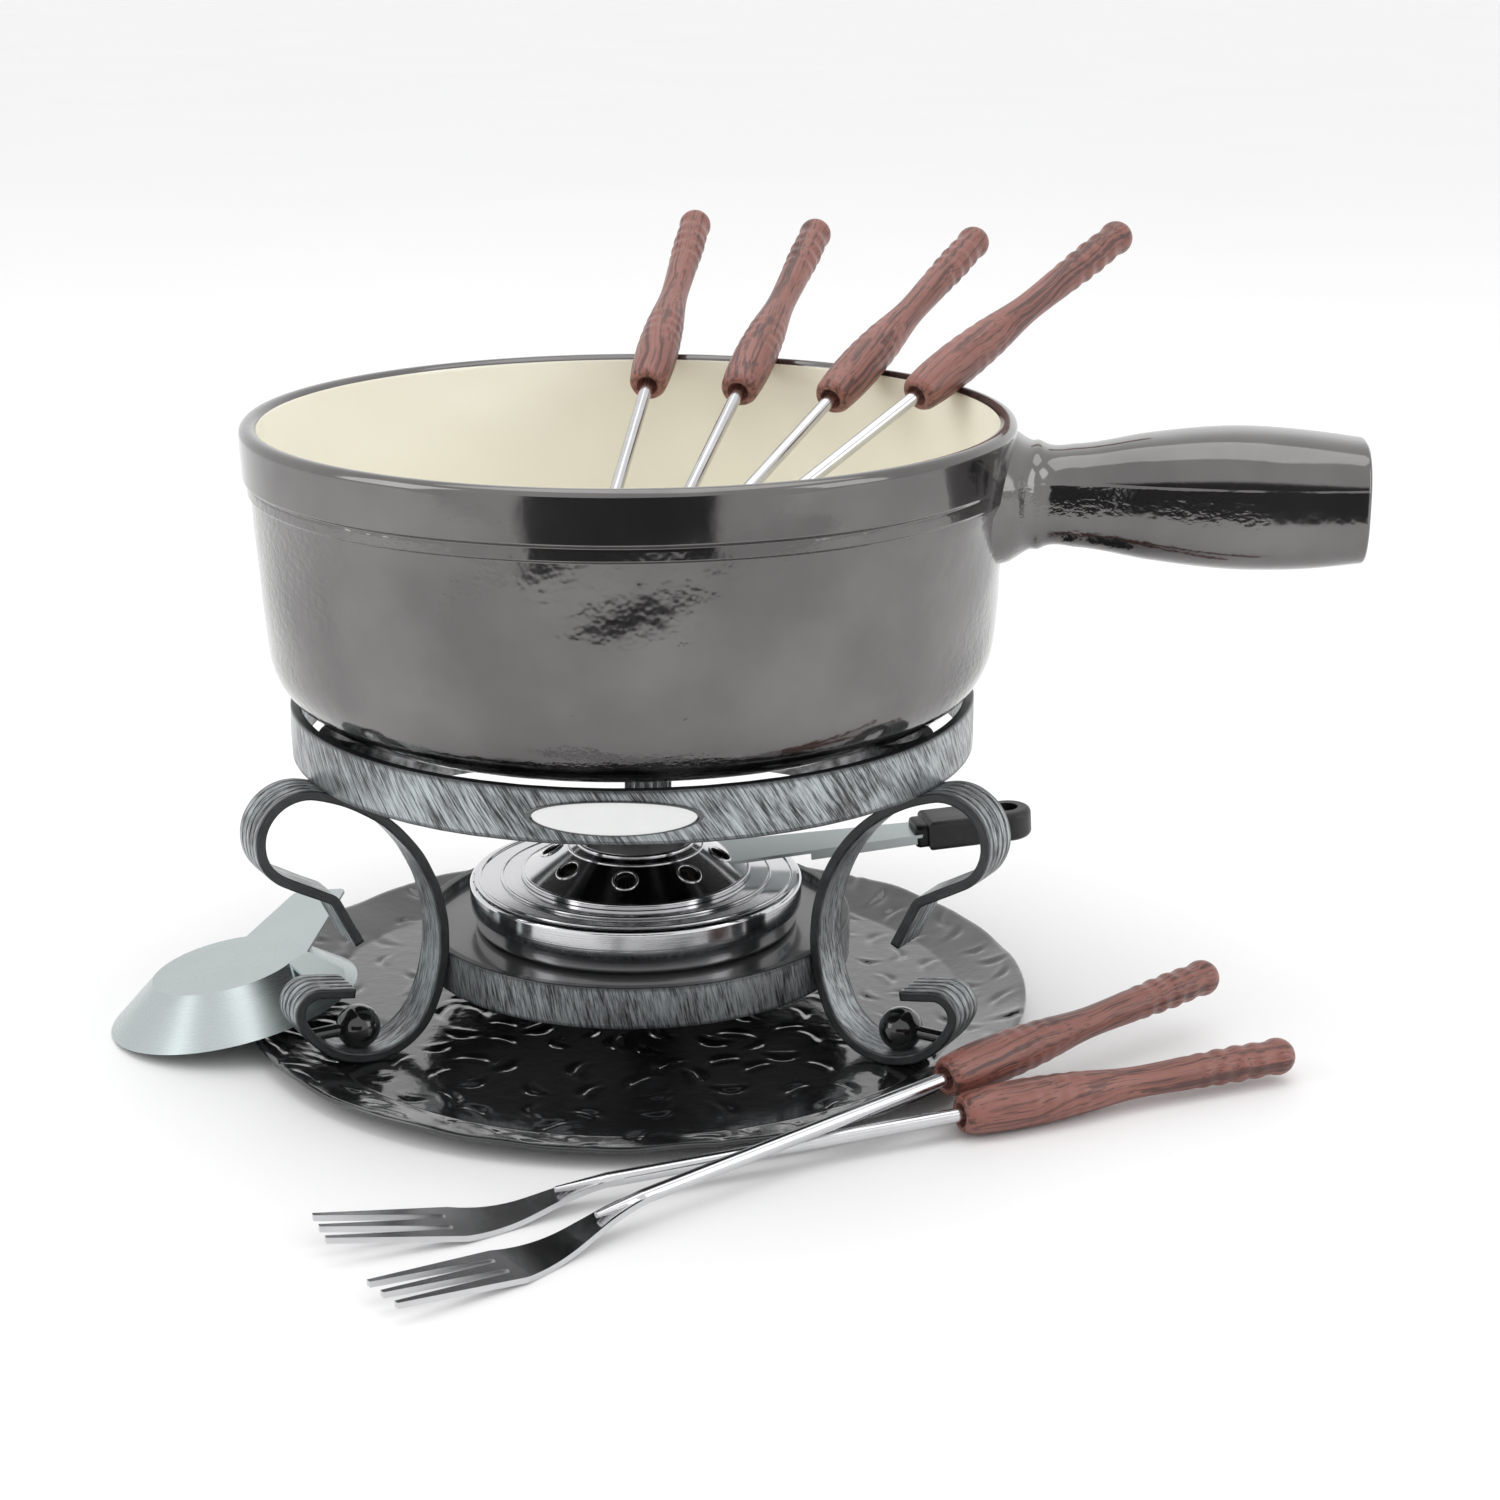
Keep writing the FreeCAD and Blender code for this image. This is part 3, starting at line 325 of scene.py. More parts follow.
tray_grid = np.concatenate([np.stack([x, y, top_z], -1), rim_xyz, under, centre], 1)
tray = make_mesh("hammered_tray", [(tray_grid, tray_grid, True, False)], "tray", ["tray"])
print("tray radius", round(tray_r, 4), "with", len(dents), "crescents")


# %% Black enamel of the tray
def tray_finish(s):
    place = s.place()
    flow = s.noise(place, 260, 2)
    fine = s.noise(place, 1500, 2)
    worn = s.noise(place, 30, 4).step(0.52, 0.75)
    return {"Base Color": s.blend(worn, (0.010, 0.010, 0.011, 1), (0.022, 0.023, 0.025, 1)),
            "Roughness": worn * 0.08 + 0.13, "Coat Weight": 0.6, "Coat Roughness": 0.06,
            "Specular IOR Level": 0.6,
            "Normal": s.bump(fine, 0.00004, 0.5, s.bump(flow, 0.00035, 0.5))}


dress([tray], finish("gloss_black_enamel", tray_finish))

# %% [markdown]
# ## The pot
# The pot is one iron casting: a bowl with a plain band under its rim, and a hollow handle cast on its
# side. Casting leaves no sharp inside corner, so the handle grows out of the wall through a soft swelling
# with a low collar.  The bowl is a turned profile.  The handle is a row of ovals that grow wider and
# flatter towards the wall, where they end inside its thickness.

# %% Bowl
low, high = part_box("pot")
pot_z = max(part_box("pot_support_%d" % k)[1].z for k in (1, 2, 3))
pot_r = -low.x
rim_z = pot_z + 0.0825
wall = 0.005
band_low = rim_z - 0.015
ledge_low = band_low - 0.004
foot_r = pot_r - 0.0063
outside = [(0, pot_z, 0), (foot_r, pot_z, 0.0205), (pot_r - 0.0024, ledge_low, 0.0004),
           (pot_r - 0.0014, ledge_low + 0.0006, 0.0004), (pot_r - 0.0014, band_low, 0.0004),
           (pot_r - 0.0002, band_low + 0.0009, 0.0006), (pot_r, rim_z, 0.0024), (pot_r - wall, rim_z, 0.0024),
           (foot_r - wall + 0.0004, pot_z + 0.0055, 0.0155), (0, pot_z + 0.0055, 0)]
bowl_profile = rounded(outside, 12, closed=False)


def fill_in(profile, longest):
    """Adds points on the profile's long runs, so that no run is longer than this."""
    out = [profile[:1]]
    for a, b in zip(profile, profile[1:]):
        count = max(1, int(np.ceil(np.linalg.norm(b - a) / longest)))
        out.append(a + (b - a) * (np.arange(1, count + 1) / count)[:, None])
    return np.concatenate(out)


handle_turn = math.radians(-4.5)
ledge_fade = 0.30


def cast_wall(r, angle, z):
    """Lets the ledge under the band fade out near the handle, and the wall waver by 0.1 mm."""
    away = np.abs((angle - handle_turn + np.pi) % (2 * np.pi) - np.pi)
    near = np.clip((0.62 - away) / ledge_fade, 0, 1)
    near = near * near * (3 - 2 * near)
    smooth_r = pot_r - 0.0002 - np.clip(rim_z - 0.004 - z, 0, 1) * 0.07
    is_ledge = (r > pot_r - 0.0045) & (z < rim_z - 0.004) & (z > ledge_low - 0.004)
    r = np.where(is_ledge, r + (smooth_r - r) * near, r)
    waver = 0.00012 * (np.sin(5 * angle + 160 * z) + np.sin(11 * angle - 230 * z))
    return r + waver * (r > 0.02) * (z < rim_z - 0.004), z


bowl_profile = fill_in(bowl_profile, 0.004)
past_rim = np.arange(len(bowl_profile)) > np.argmax(bowl_profile[:, 1])
cream = past_rim & (bowl_profile[:, 1] < rim_z - 0.0014)
bowl = turned(bowl_profile, 256, cast_wall)
bowl_pattern = np.stack([cream + 0.0, 0 * cream, 0 * cream], -1)[None]


# %% Cast handle
handle_z = rim_z - 0.0215
reach = high.x / math.cos(handle_turn) - 0.0005
root = pot_r + 0.0045
stations = np.array([  # distance from the pot's axis, half width, half height, rise of the middle
    (pot_r - 0.0045, 0.0290, 0.0186, 0.0), (pot_r - 0.0030, 0.0270, 0.0184, 0.0),
    (pot_r - 0.0012, 0.0244, 0.0180, 0.0), (pot_r + 0.0010, 0.0216, 0.0166, 0.0),
    (pot_r + 0.0028, 0.0190, 0.0155, 0.0), (root, 0.0174, 0.0148, 0.0),
    (root + 0.0016, 0.0166, 0.0150, 0.0), (root + 0.0040, 0.0155, 0.0140, 0.0),
    (root + 0.013, 0.0154, 0.0142, 0.0), (root + 0.033, 0.0186, 0.0174, 0.0002),
    (root + 0.057, 0.0204, 0.0196, 0.0002), (root + 0.077, 0.0202, 0.0188, 0.0),
    (reach - 0.0010, 0.0188, 0.0171, 0.0)])
count = 110
t = np.linspace(0, 1, count)
along = stations[0, 0] + (stations[-1, 0] - stations[0, 0]) * (0.35 * t + 0.65 * t ** 1.6)


def eased(x, xs, ys):
    """Smooth curve through points: on each span, a cubic whose end slopes are the neighbours' mean slope."""
    slope = np.gradient(ys, xs)
    k = np.clip(np.searchsorted(xs, x) - 1, 0, len(xs) - 2)
    h = xs[k + 1] - xs[k]
    u = (x - xs[k]) / h
    return ((2 * u ** 3 - 3 * u ** 2 + 1) * ys[k] + (u ** 3 - 2 * u ** 2 + u) * h * slope[k]
            + (3 * u ** 2 - 2 * u ** 3) * ys[k + 1] + (u ** 3 - u ** 2) * h * slope[k + 1])


half_w, half_h, rise = (eased(along, stations[:, 0], stations[:, k]) for k in (1, 2, 3))
end = np.array([0.0003, 0.0008, 0.0010])[None, :]
along = np.concatenate([along, reach - 0.001 + end[0], [reach]])
shrink = np.array([0.995, 0.965, 0.90, 0.0])
half_w, half_h, rise = (np.concatenate([v, v[-1] * f]) for v, f in
                        ((half_w, shrink), (half_h, shrink), (rise, np.ones(4))))
around = np.linspace(0, 2 * np.pi, 96, endpoint=False)[None, :]


def oval(a, b, angle, power=2.7):
    """Superellipse a little squarer than an ellipse, as a pattern maker's handle is."""
    c, s = np.cos(angle), np.sin(angle)
    return (a * np.sign(c) * np.abs(c) ** (2 / power), b * np.sign(s) * np.abs(s) ** (2 / power))


hy, hz = oval(half_w[:, None], half_h[:, None], around)
hx = along[:, None] + 0 * around
outer = np.sqrt(np.maximum((pot_r - 0.0022) ** 2 - hy ** 2, 0))
hug = np.clip((root - hx) / 0.0075, 0, 1)
hx = hx - hug * (pot_r - 0.0022 - outer)
hz = hz + handle_z + rise[:, None]
cy, sy = math.cos(handle_turn), math.sin(handle_turn)
handle = np.stack([hx * cy - hy * sy, hx * sy + hy * cy, hz], -1)
plug = np.array([stations[0, 0] * cy, stations[0, 0] * sy, handle_z]) + 0 * handle[:1]
handle = np.concatenate([plug, handle], 0)
pot = make_mesh("cast_pot", [(bowl, bowl_pattern, True, False), (handle, 0 * handle, False, True)], "pot",
                ["pot"])
print("pot rim", round(2 * pot_r, 4), "across, handle reaches", round(reach, 4))


# %% [markdown]
# ## Enamel
# Outside, the enamel is a glossy dark grey that ran a little before it set, so it has the skin of an
# orange; near the base the grey goes almost black, a painted shade under the pot.  Inside it is smooth
# cream.  One material does both: the bowl's pattern marks the points of its profile that lie inside, and
# the rim keeps the grey where the cream was wiped back.

# %% Pot finish
def pot_finish(s):
    place = s.place()
    z = s.part(place, 2)
    cream = s.part(s.pattern(), 0).step(0.35, 0.65)
    # painted shade: a mask, ragged by noise, that is 1 on the pot's underside and 0 above a line just over
    # the base
    painted_shade_under_base = 1 - (z + s.noise(place, 45, 3) * 0.016).step(pot_z + 0.013, pot_z + 0.017)
    cloud = s.noise(place, 22, 4)
    dark = s.blend(cloud.step(0.3, 0.75), (0.125, 0.121, 0.120, 1), (0.180, 0.174, 0.172, 1))
    # the painted shade turns the grey enamel almost black on the pot's underside
    dark = s.blend(painted_shade_under_base, dark, (0.012, 0.012, 0.012, 1))
    tint = s.blend(s.noise(place, 12, 2), (0.85, 0.825, 0.71, 1), (0.90, 0.875, 0.77, 1))
    skin = s.noise(place, 190, 2, 0.5)
    pits = s.noise(s.stretched(place, (1, 1, 1.6)), 420, 2, 0.5)
    band = z.step(band_low - 0.001, band_low)
    where = s.noise(place, 17, 2).step(0.42, 0.58) * (1 - band)
    height = (skin * (0.35 - band * 0.26) + pits * 0.50 * where) * (1 - cream * 0.9)
    return {"Base Color": s.blend(cream, dark, tint), "Metallic": (1 - cream) * 0.9,
            "Roughness": cream * 0.10 + cloud * 0.10 + 0.05, "Coat Weight": 0.25,
            "Coat Roughness": 0.04, "Normal": s.bump(height, 0.00075, 0.6)}


dress([pot], finish("grey_and_cream_enamel", pot_finish))

# %% [markdown]
# ## Strip iron
# The legs and rings are bent from flat bar: rolled edges, long grooves on the outer faces, black forge
# scale with the high spots brushed back to silver.  A leg is a bar's profile carried along a path of runs
# and arcs. The profile's grooves are shape, and the pattern coordinates follow the bar, so the scratches
# do too.

# %% Bar profile
LEG_WIDTH, STRIP = 0.014, 0.003


def bar_profile(width, thick, grooves, depth=0.00042, chamfer=0.0005):
    """Closed profile (across, through): the face at +thick / 2 carries the grooves."""
    w, h = width / 2, thick / 2
    face = np.linspace(-w + 0.0009, w - 0.0009, 57)
    cut = sum(np.exp(-((face - g) / 0.00034) ** 2) for g in grooves) if len(grooves) else 0 * face
    crown = 0.00012 * (1 - (face / w) ** 2)
    outer_face = np.stack([face, h - 0.00012 + crown - depth * cut], -1)
    corners = rounded([(w, h - 0.0001, chamfer), (w, -h, chamfer), (-w, -h, chamfer),
                       (-w, h - 0.0001, chamfer)], 4)
    start = int(np.argmin(np.hypot(corners[:, 0] - w + 0.0005, corners[:, 1] - h)))
    corners = np.roll(corners, -start, axis=0)
    return np.concatenate([outer_face, corners])


def path_points(start, heading, steps, spacing):
    """Points, headings and distances along runs (length,) and arcs (radius, turn), no further apart than
    spacing."""
    x, z, h, s = start[0], start[1], heading, 0.0
    rows = [(x, z, h, s)]
    for step in steps:
        length = step[0] if len(step) == 1 else step[0] * abs(step[1])
        turn = 0.0 if len(step) == 1 else step[1]
        n = max(2, int(np.ceil(length / spacing)))
        for _ in range(n):
            mid = h + turn / n / 2
            chord = length / n * (1 if turn == 0 else math.sin(turn / n / 2) / (turn / n / 2))
            x, z, h, s = x + chord * math.cos(mid), z + chord * math.sin(mid), h + turn / n, s + length / n
            rows.append((x, z, h, s))
    return np.array(rows)


def carried(path, profile, azimuth):
    """Carries the profile along a path in the upright plane at an azimuth.  Across the bar is level; through
    it is to the path's left, the outside of every curl.  A row drawn in to the middle closes each end."""
    x, z, h, s = (path[:, k:k + 1] for k in range(4))
    a, b = profile[None, :, 0], profile[None, :, 1]
    px, pz = x - b * np.sin(h), z + b * np.cos(h)
    ca, sa = math.cos(azimuth), math.sin(azimuth)
    grid = np.stack([px * ca - a * sa, px * sa + a * ca, pz + 0 * a], -1)
    pattern = np.stack([s + 0 * a, a + 0 * s, b + 0 * s], -1)
    caps = [grid[k].mean(0) + 0 * grid[:1] for k in (0, -1)]
    return (np.concatenate([caps[0], grid, caps[1]], 0),
            np.concatenate([pattern[:1], pattern, pattern[-1:]], 0))


# %% Legs
FOOT_R, FOOT_Z = 0.0876, sheet + STRIP / 2
LEG_GROOVES = (-0.0042, -0.0014, 0.0014, 0.0042)
turn = math.radians
curl = [(0.0232, turn(68)), (0.0057, turn(122)), (0.010,)]
sweep = [(0.0195, turn(-64)), (0.04985, turn(-101)), (0.013, turn(-166)), (0.0145,), (0.004, turn(35)),
         (0.0145,)]
curl_path = path_points((FOOT_R, FOOT_Z), 0.0, curl, 0.0008)
back = [step if len(step) == 1 else (step[0], -step[1]) for step in curl[::-1]]
leg_path = path_points(curl_path[-1, :2], curl_path[-1, 2] + np.pi, back + sweep, 0.0008)


def wrought(grid, seed):
    """Moves the surface by a few hundredths of a millimetre, as a bar looks after hammer and brush."""
    x, y, z = (grid[..., k] for k in range(3))
    waver = np.sin(410 * x + seed) * np.sin(530 * y + 2 * seed) + np.sin(610 * z + seed)
    return grid + 0.00003 * waver[..., None]


legs = []
for k, azimuth in enumerate((90, 210, 330), 1):
    grid, pattern = carried(leg_path, bar_profile(LEG_WIDTH, STRIP, LEG_GROOVES), turn(azimuth))
    legs.append(make_mesh("scrolled_leg_%d" % k, [(wrought(grid, k), pattern + (k * 0.3, 0, 0), False, True)],
                          "stand", ["leg_%d" % k]))


# %% Rings
def ring_piece(name, node, grooves):
    """A bar's profile bent round in a circle, its grooved face outwards."""
    low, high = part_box(node)
    outer, width = high.y, high.z - low.z
    profile = bar_profile(width, STRIP, grooves, 0.00015)
    angle = np.linspace(0, 2 * np.pi, 300, endpoint=False)[:, None] + np.pi / 2
    r = outer - STRIP / 2 + profile[None, :, 1] + 0 * angle
    z = (low.z + high.z) / 2 + profile[None, :, 0] + 0 * angle
    grid = np.stack([r * np.cos(angle), r * np.sin(angle), z], -1)
    pattern = np.stack([outer * angle + 0 * z, profile[None, :, 0] + 0 * angle,
                        profile[None, :, 1] + 0 * angle], -1)
    print(name, "is", round(2 * outer, 4), "across")
    return make_mesh(name, [(wrought(grid, 5), pattern, True, True)], "stand", [node])


upper = ring_piece("pot_ring", "upper_ring", ())
lower = ring_piece("burner_ring", "lower_ring", ())


# %% Brushed iron
def iron_finish(s, stretch, lean, half_width):
    bar = s.pattern()
    across, through = s.part(bar, 1), s.part(bar, 2)
    edge = s.maths("ABSOLUTE", across).step(half_width - 0.0016, half_width - 0.0002)
    groove = 1 - s.maths("ABSOLUTE", through).step(0.00105, 0.00140)
    scratch = s.noise(s.stretched(bar, stretch, (0, 0, lean)), 2200, 3, 0.65)
    broad = s.noise(s.stretched(bar, stretch, (0, 0, lean)), 800, 2)
    patch = s.noise(bar, 55, 3)
    bright = (scratch * 0.75 + broad * 0.3 + patch * 0.35).step(0.54, 0.86)
    silver = bright * (1 - edge * 0.8) * (1 - groove * 0.75)
    colour = s.blend(silver, (0.016, 0.018, 0.019, 1), (0.46, 0.50, 0.51, 1))
    return {"Base Color": colour, "Metallic": silver * 0.55 + 0.35,
            "Roughness": 0.40 - silver * 0.10 + scratch * 0.1, "Coat Weight": 0.3, "Coat Roughness": 0.15,
            "Normal": s.bump(scratch * 0.6 + broad * 0.4, 0.0002, 0.5)}


for things, name, stretch, lean, half_width in (
        (legs, "brushed_strip_iron", (0.10, 1.0, 1.0), 6, 0.0070),
        ([upper], "brushed_ring_iron", (1.0, 0.06, 1.0), -34, 0.0075),
        ([lower], "brushed_small_ring_iron", (1.0, 0.08, 1.0), -12, 0.00625)):
    dress(things, finish(name, lambda s: iron_finish(s, stretch, turn(lean), half_width)))


# %% [markdown]
# ## Plain black pieces
# The balls in the lower curls are dipped in gloss black, the star that carries the pot is scaled black by
# the flame, and the burner's plate is smooth dark lacquer.  The CAD shapes are right as they are.

# %% Balls, star and plate
def ball_finish(s):
    skin = s.noise(s.place(), 700, 2)
    return {"Base Color": s.blend(skin, grey(0.006), grey(0.016)), "Roughness": skin * 0.06 + 0.08,
            "Coat Weight": 0.8, "Normal": s.bump(skin, 0.0001, 0.4)}


def star_finish(s):
    scale = s.noise(s.place(), 260, 4)
    return {"Base Color": s.blend(scale.step(0.3, 0.7), grey(0.05), grey(0.34)), "Metallic": 0.85,
            "Roughness": scale * 0.2 + 0.25, "Normal": s.bump(scale, 0.0003, 0.5)}


def plate_finish(s):
    cloud = s.noise(s.place(), 35, 3)
    return {"Base Color": s.blend(cloud, grey(0.07), grey(0.11)), "Metallic": 0.5,
            "Roughness": cloud * 0.15 + 0.25, "Coat Weight": 0.5,
            "Normal": s.bump(s.noise(s.place(), 900, 2), 0.00006, 0.5)}


dress(["ball_1", "ball_2", "ball_3"], finish("gloss_black", ball_finish))
dress(["pot_support_1", "pot_support_2", "pot_support_3"], finish("scaled_black_iron", star_finish))
dress(["burner_plate"], finish("dark_lacquer", plate_finish))

# %% [markdown]
# ## The badge
# A plain oval of white enamel is fixed to the front of the ring.  It is a disc in two parameters, share
# of the way out and angle, bent round the ring.  Its last steps rise into a thin border and roll over the
# edge.

# %% Badge
low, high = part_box("badge")
ring_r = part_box("upper_ring")[1].y
half_long, half_tall, badge_z = high.x, (high.z - low.z) / 2, (low.z + high.z) / 2
share = np.concatenate([np.linspace(0, 0.90, 10), [0.925, 0.94, 0.955, 0.975, 0.99, 1.0, 1.0]])[:, None]
stand_off = np.concatenate([np.full(10, 0.42), [0.44, 0.62, 0.69, 0.69, 0.60, 0.45, 0.0]])[:, None] * 0.001
angle = np.linspace(0, 2 * np.pi, 128, endpoint=False)[None, :]
bend = share * half_long * np.cos(angle) / ring_r
badge_r = ring_r + stand_off + 0 * angle
badge_grid = np.stack([badge_r * np.sin(bend), -badge_r * np.cos(bend),
                       badge_z + share * half_tall * np.sin(angle)], -1)
behind = badge_grid[-1].mean(0) + 0 * badge_grid[:1]
badge_grid = np.concatenate([badge_grid, behind], 0)
flat = np.concatenate([share, share[-1:]], 0) + 0 * angle
badge_pattern = np.stack([flat, 0 * flat, 0 * flat], -1)
badge = make_mesh("plain_badge", [(badge_grid, badge_pattern, False, True)], "stand",
                  ["badge"])


def badge_finish(s):
    out = s.part(s.pattern(), 0).step(0.92, 0.935)
    cloud = s.noise(s.place(), 120, 3)
    white = s.blend(cloud, (0.80, 0.81, 0.80, 1), (0.88, 0.89, 0.88, 1))
    return {"Base Color": s.blend(out, white, grey(0.10)),
            "Metallic": out * 0.8, "Roughness": cloud * 0.08 + 0.18, "Coat Weight": 0.5,
            "Normal": s.bump(cloud, 0.0001, 0.3)}


dress([badge], finish("white_enamel", badge_finish))

# %% [markdown]
# ## The burner
# The burner is spun and pressed from polished stainless sheet.  Its cover, turning regulator and cups
# keep their CAD shapes, which have the real holes.  What spinning adds is small rolled rings: one round
# the cover's shoulder, one where the cover's skirt ends, one round the regulator's foot and mouth, and a
# raised eyelet round each air hole.

# %% Rolled rings
def hoop(radius, height, thick, around=160, section=10, squash=1.0):
    """A ring with a round section: thick is the section's radius, squash its height over its width."""
    a = np.linspace(0, 2 * np.pi, around, endpoint=False)[:, None]
    b = np.linspace(0, 2 * np.pi, section, endpoint=False)[None, :]
    r = radius + thick * np.cos(b)
    return np.stack([r * np.cos(a), r * np.sin(a), height + thick * squash * np.sin(b) + 0 * a], -1)


cover_low, cover_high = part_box("burner_cover")
reg_low, reg_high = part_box("regulator")
cover_r, plate_z = cover_high.x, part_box("burner_plate")[1].z
cover_top = plate_z + 0.014
lip_r, mouth_r, CONE_R = reg_high.x, 0.0175, 0.0343   # foot, mouth and widest radius of the regulator's cone
slope = 0.009 / (CONE_R - mouth_r)
lip_z, mouth_z = reg_low.z + 0.0009, cover_top + 0.0017 + slope * (CONE_R - mouth_r)
cover_hoops = [hoop(cover_r - 0.0006, cover_low.z + 0.0003, 0.00055),
               hoop(0.0400, cover_top + 0.0004, 0.0005), hoop(0.0466, cover_top + 0.0001, 0.0004)]
rolled = make_mesh("cover_rolls", [(g, g, True, True) for g in cover_hoops], "burner")
turning_hoops = [hoop(lip_r - 0.0008, lip_z, 0.0007), hoop(mouth_r - 0.0002, mouth_z + 0.0002, 0.0007),
                 hoop(mouth_r + 0.0026, mouth_z - 0.0026 * slope, 0.00045)]
tilt = math.atan(slope)
HOLE_R, HOLE_RING, HOLE_START = 0.0032, 0.0252, 41.0
eyelet = hoop(HOLE_R + 0.0003, 0, 0.00045, 40, 8)
eyelets = []
for k in range(8):
    a = turn(HOLE_START + 45 * k)
    ex = eyelet[..., 0] * math.cos(tilt) + eyelet[..., 2] * math.sin(tilt) + HOLE_RING
    ez = eyelet[..., 2] * math.cos(tilt) - eyelet[..., 0] * math.sin(tilt) + mouth_z \
        - slope * (HOLE_RING - mouth_r)
    eyelets.append(np.stack([ex * math.cos(a) - eyelet[..., 1] * math.sin(a),
                             ex * math.sin(a) + eyelet[..., 1] * math.cos(a), ez], -1))
trims = make_mesh("regulator_rolls", [(g, g, True, True) for g in turning_hoops + eyelets], "regulator")


# %% Polished steel
def polished(s):
    place = s.place()
    x, y, z = (s.part(place, k) for k in range(3))
    r = s.maths("SQRT", x * x + y * y)               # lines of spinning run round the axis
    lines = s.noise(s.node("ShaderNodeCombineXYZ", {}, {0: r, 1: z, 2: 0.0}), 2600, 2)
    smear = s.noise(place, 60, 3)
    return {"Base Color": s.blend(smear, grey(0.72 * 0.86), grey(0.72)), "Metallic": 1.0,
            "Roughness": lines * 0.10 + smear * 0.05 + 0.06, "Normal": s.bump(lines, 0.00003, 0.5)}


def satin(s, scale, turned_by=0.0):
    place = s.place()
    lines = s.noise(s.stretched(place, scale, (0, 0, turned_by)), 1500, 3, 0.6)
    smear = s.noise(place, 25, 3)
    return {"Base Color": s.blend(smear, (0.40, 0.45, 0.45, 1), (0.50, 0.55, 0.55, 1)), "Metallic": 0.9,
            "Roughness": lines * 0.08 + smear * 0.05 + 0.24, "Normal": s.bump(lines, 0.00002, 0.3)}


steel = finish("polished_stainless", polished)
dress(["burner_base", "burner_cover", "regulator", "fuel_cup", rolled, trims], steel)
dress(["regulator_lever"], finish("satin_lever", lambda s: satin(s, (0.12, 1.0, 1.0), turn(11))))


def felt(s):
    fibre = s.noise(s.place(), 1800, 4)
    return {"Base Color": s.blend(fibre, (0.55, 0.52, 0.46, 1), (0.80, 0.78, 0.72, 1)), "Roughness": 0.95,
            "Normal": s.bump(fibre, 0.0004, 0.8)}


def gauze(s):
    wires = 2000 * math.pi                           # one wire each millimetre
    weave = s.maths("SINE", s.part(s.place(), 0) * wires) * s.maths("SINE", s.part(s.place(), 1) * wires)
    return {"Base Color": s.blend(weave.step(-0.3, 0.3), grey(0.03), grey(0.42)), "Metallic": 0.9,
            "Roughness": weave * 0.08 + 0.35, "Normal": s.bump(weave, 0.0003, 0.8)}


dress(["fuel_pad"], finish("fuel_felt", felt))
dress(["burner_gauze"], finish("woven_gauze", gauze))

# %% [markdown]
# ## The grip
# The lever ends in a moulded black grip with a rounded outline and a hanging eye.  Towards the burner it
# steps down to a narrower collar that clasps the lever.  The step is a rounded box, carried a short way
# along the lever's own direction.

# %% Grip collar
lever_turn, lever_climb, LEVER_START = turn(11.0), turn(3.6), 0.0295
start_z = mouth_z - slope * (LEVER_START - mouth_r) + 0.001


def on_lever(grid):
    """From the lever's own frame, +X along it from the set's axis, to its place on the burner."""
    x, y, z = grid[..., 0] - LEVER_START, grid[..., 1], grid[..., 2]
    x, z = (x * math.cos(lever_climb) - z * math.sin(lever_climb) + LEVER_START,
            x * math.sin(lever_climb) + z * math.cos(lever_climb) + start_z)
    return np.stack([x * math.cos(lever_turn) - y * math.sin(lever_turn),
                     x * math.sin(lever_turn) + y * math.cos(lever_turn), z], -1)


a = np.linspace(0, 2 * np.pi, 48, endpoint=False)[None, :]
steps = np.array([  # distance along the lever, share of the collar's full section
    (0.0850, 0.0), (0.0850, 0.80), (0.0853, 0.93), (0.0860, 1.0), (0.0886, 1.0), (0.0892, 0.99),
    (0.0892, 0.0)])
collar_y, collar_z = oval(0.0063 * steps[:, 1:2], 0.0036 * steps[:, 1:2], a, 5.0)
collar = on_lever(np.stack([steps[:, :1] + 0 * a, collar_y, collar_z - 0.0012], -1))
grip_collar = make_mesh("grip_collar", [(collar, collar, False, True)], "regulator")


def grip_finish(s):
    grain = s.noise(s.place(), 1400, 3)
    rub = s.noise(s.place(), 90, 3).step(0.5, 0.8)
    return {"Base Color": s.blend(rub, grey(0.012), grey(0.03)),
            "Roughness": 0.36 + grain * 0.12 - rub * 0.06, "Normal": s.bump(grain, 0.00012, 0.5)}


dress(["regulator_grip", grip_collar], finish("moulded_black", grip_finish))

# %% [markdown]
# ## The snuffer
# The snuffer is spun from thin stainless sheet and left satin.  Its lever and lug are the same sheet.
# The CAD shapes are kept; the finish does the rest.

# %% Snuffer
centre = np.array([(v.co.x, v.co.y) for v in nodes["snuffer_cap"].data.vertices]).mean(0)


def spun(s):
    place = s.node("ShaderNodeMapping", {}, {"Vector": s.place(), "Location": (-centre[0], -centre[1], 0.0)})
    x, y = s.part(place, 0), s.part(place, 1)
    r = s.maths("SQRT", x * x + y * y)
    lines = s.noise(s.node("ShaderNodeCombineXYZ", {}, {0: r, 1: 0.0, 2: 0.0}), 2200, 3)
    smear = s.noise(place, 30, 3)
    return {"Base Color": s.blend(smear, (0.40, 0.45, 0.45, 1), (0.50, 0.55, 0.55, 1)), "Metallic": 0.9,
            "Roughness": lines * 0.06 + smear * 0.05 + 0.22, "Normal": s.bump(lines, 0.00002, 0.3)}


dress(["snuffer_cap"], finish("satin_spun_sheet", spun))
dress(["snuffer_lever"], finish("satin_sheet", lambda s: satin(s, (1.0, 0.2, 1.0))))

# %% [markdown]
# ## The forks
# A fork handle is turned in reddish hardwood: a ball at the butt, four finger ripples, a waist, a long
# swelling with a few fine ripples, and a bevelled mouth with the steel let into it.  The profile is one
# smooth curve with the ripples added.  Every fork's own axis is found from its CAD node, so all six are
# made by one function.

# %% Turned handles
BALL_R = 0.0053


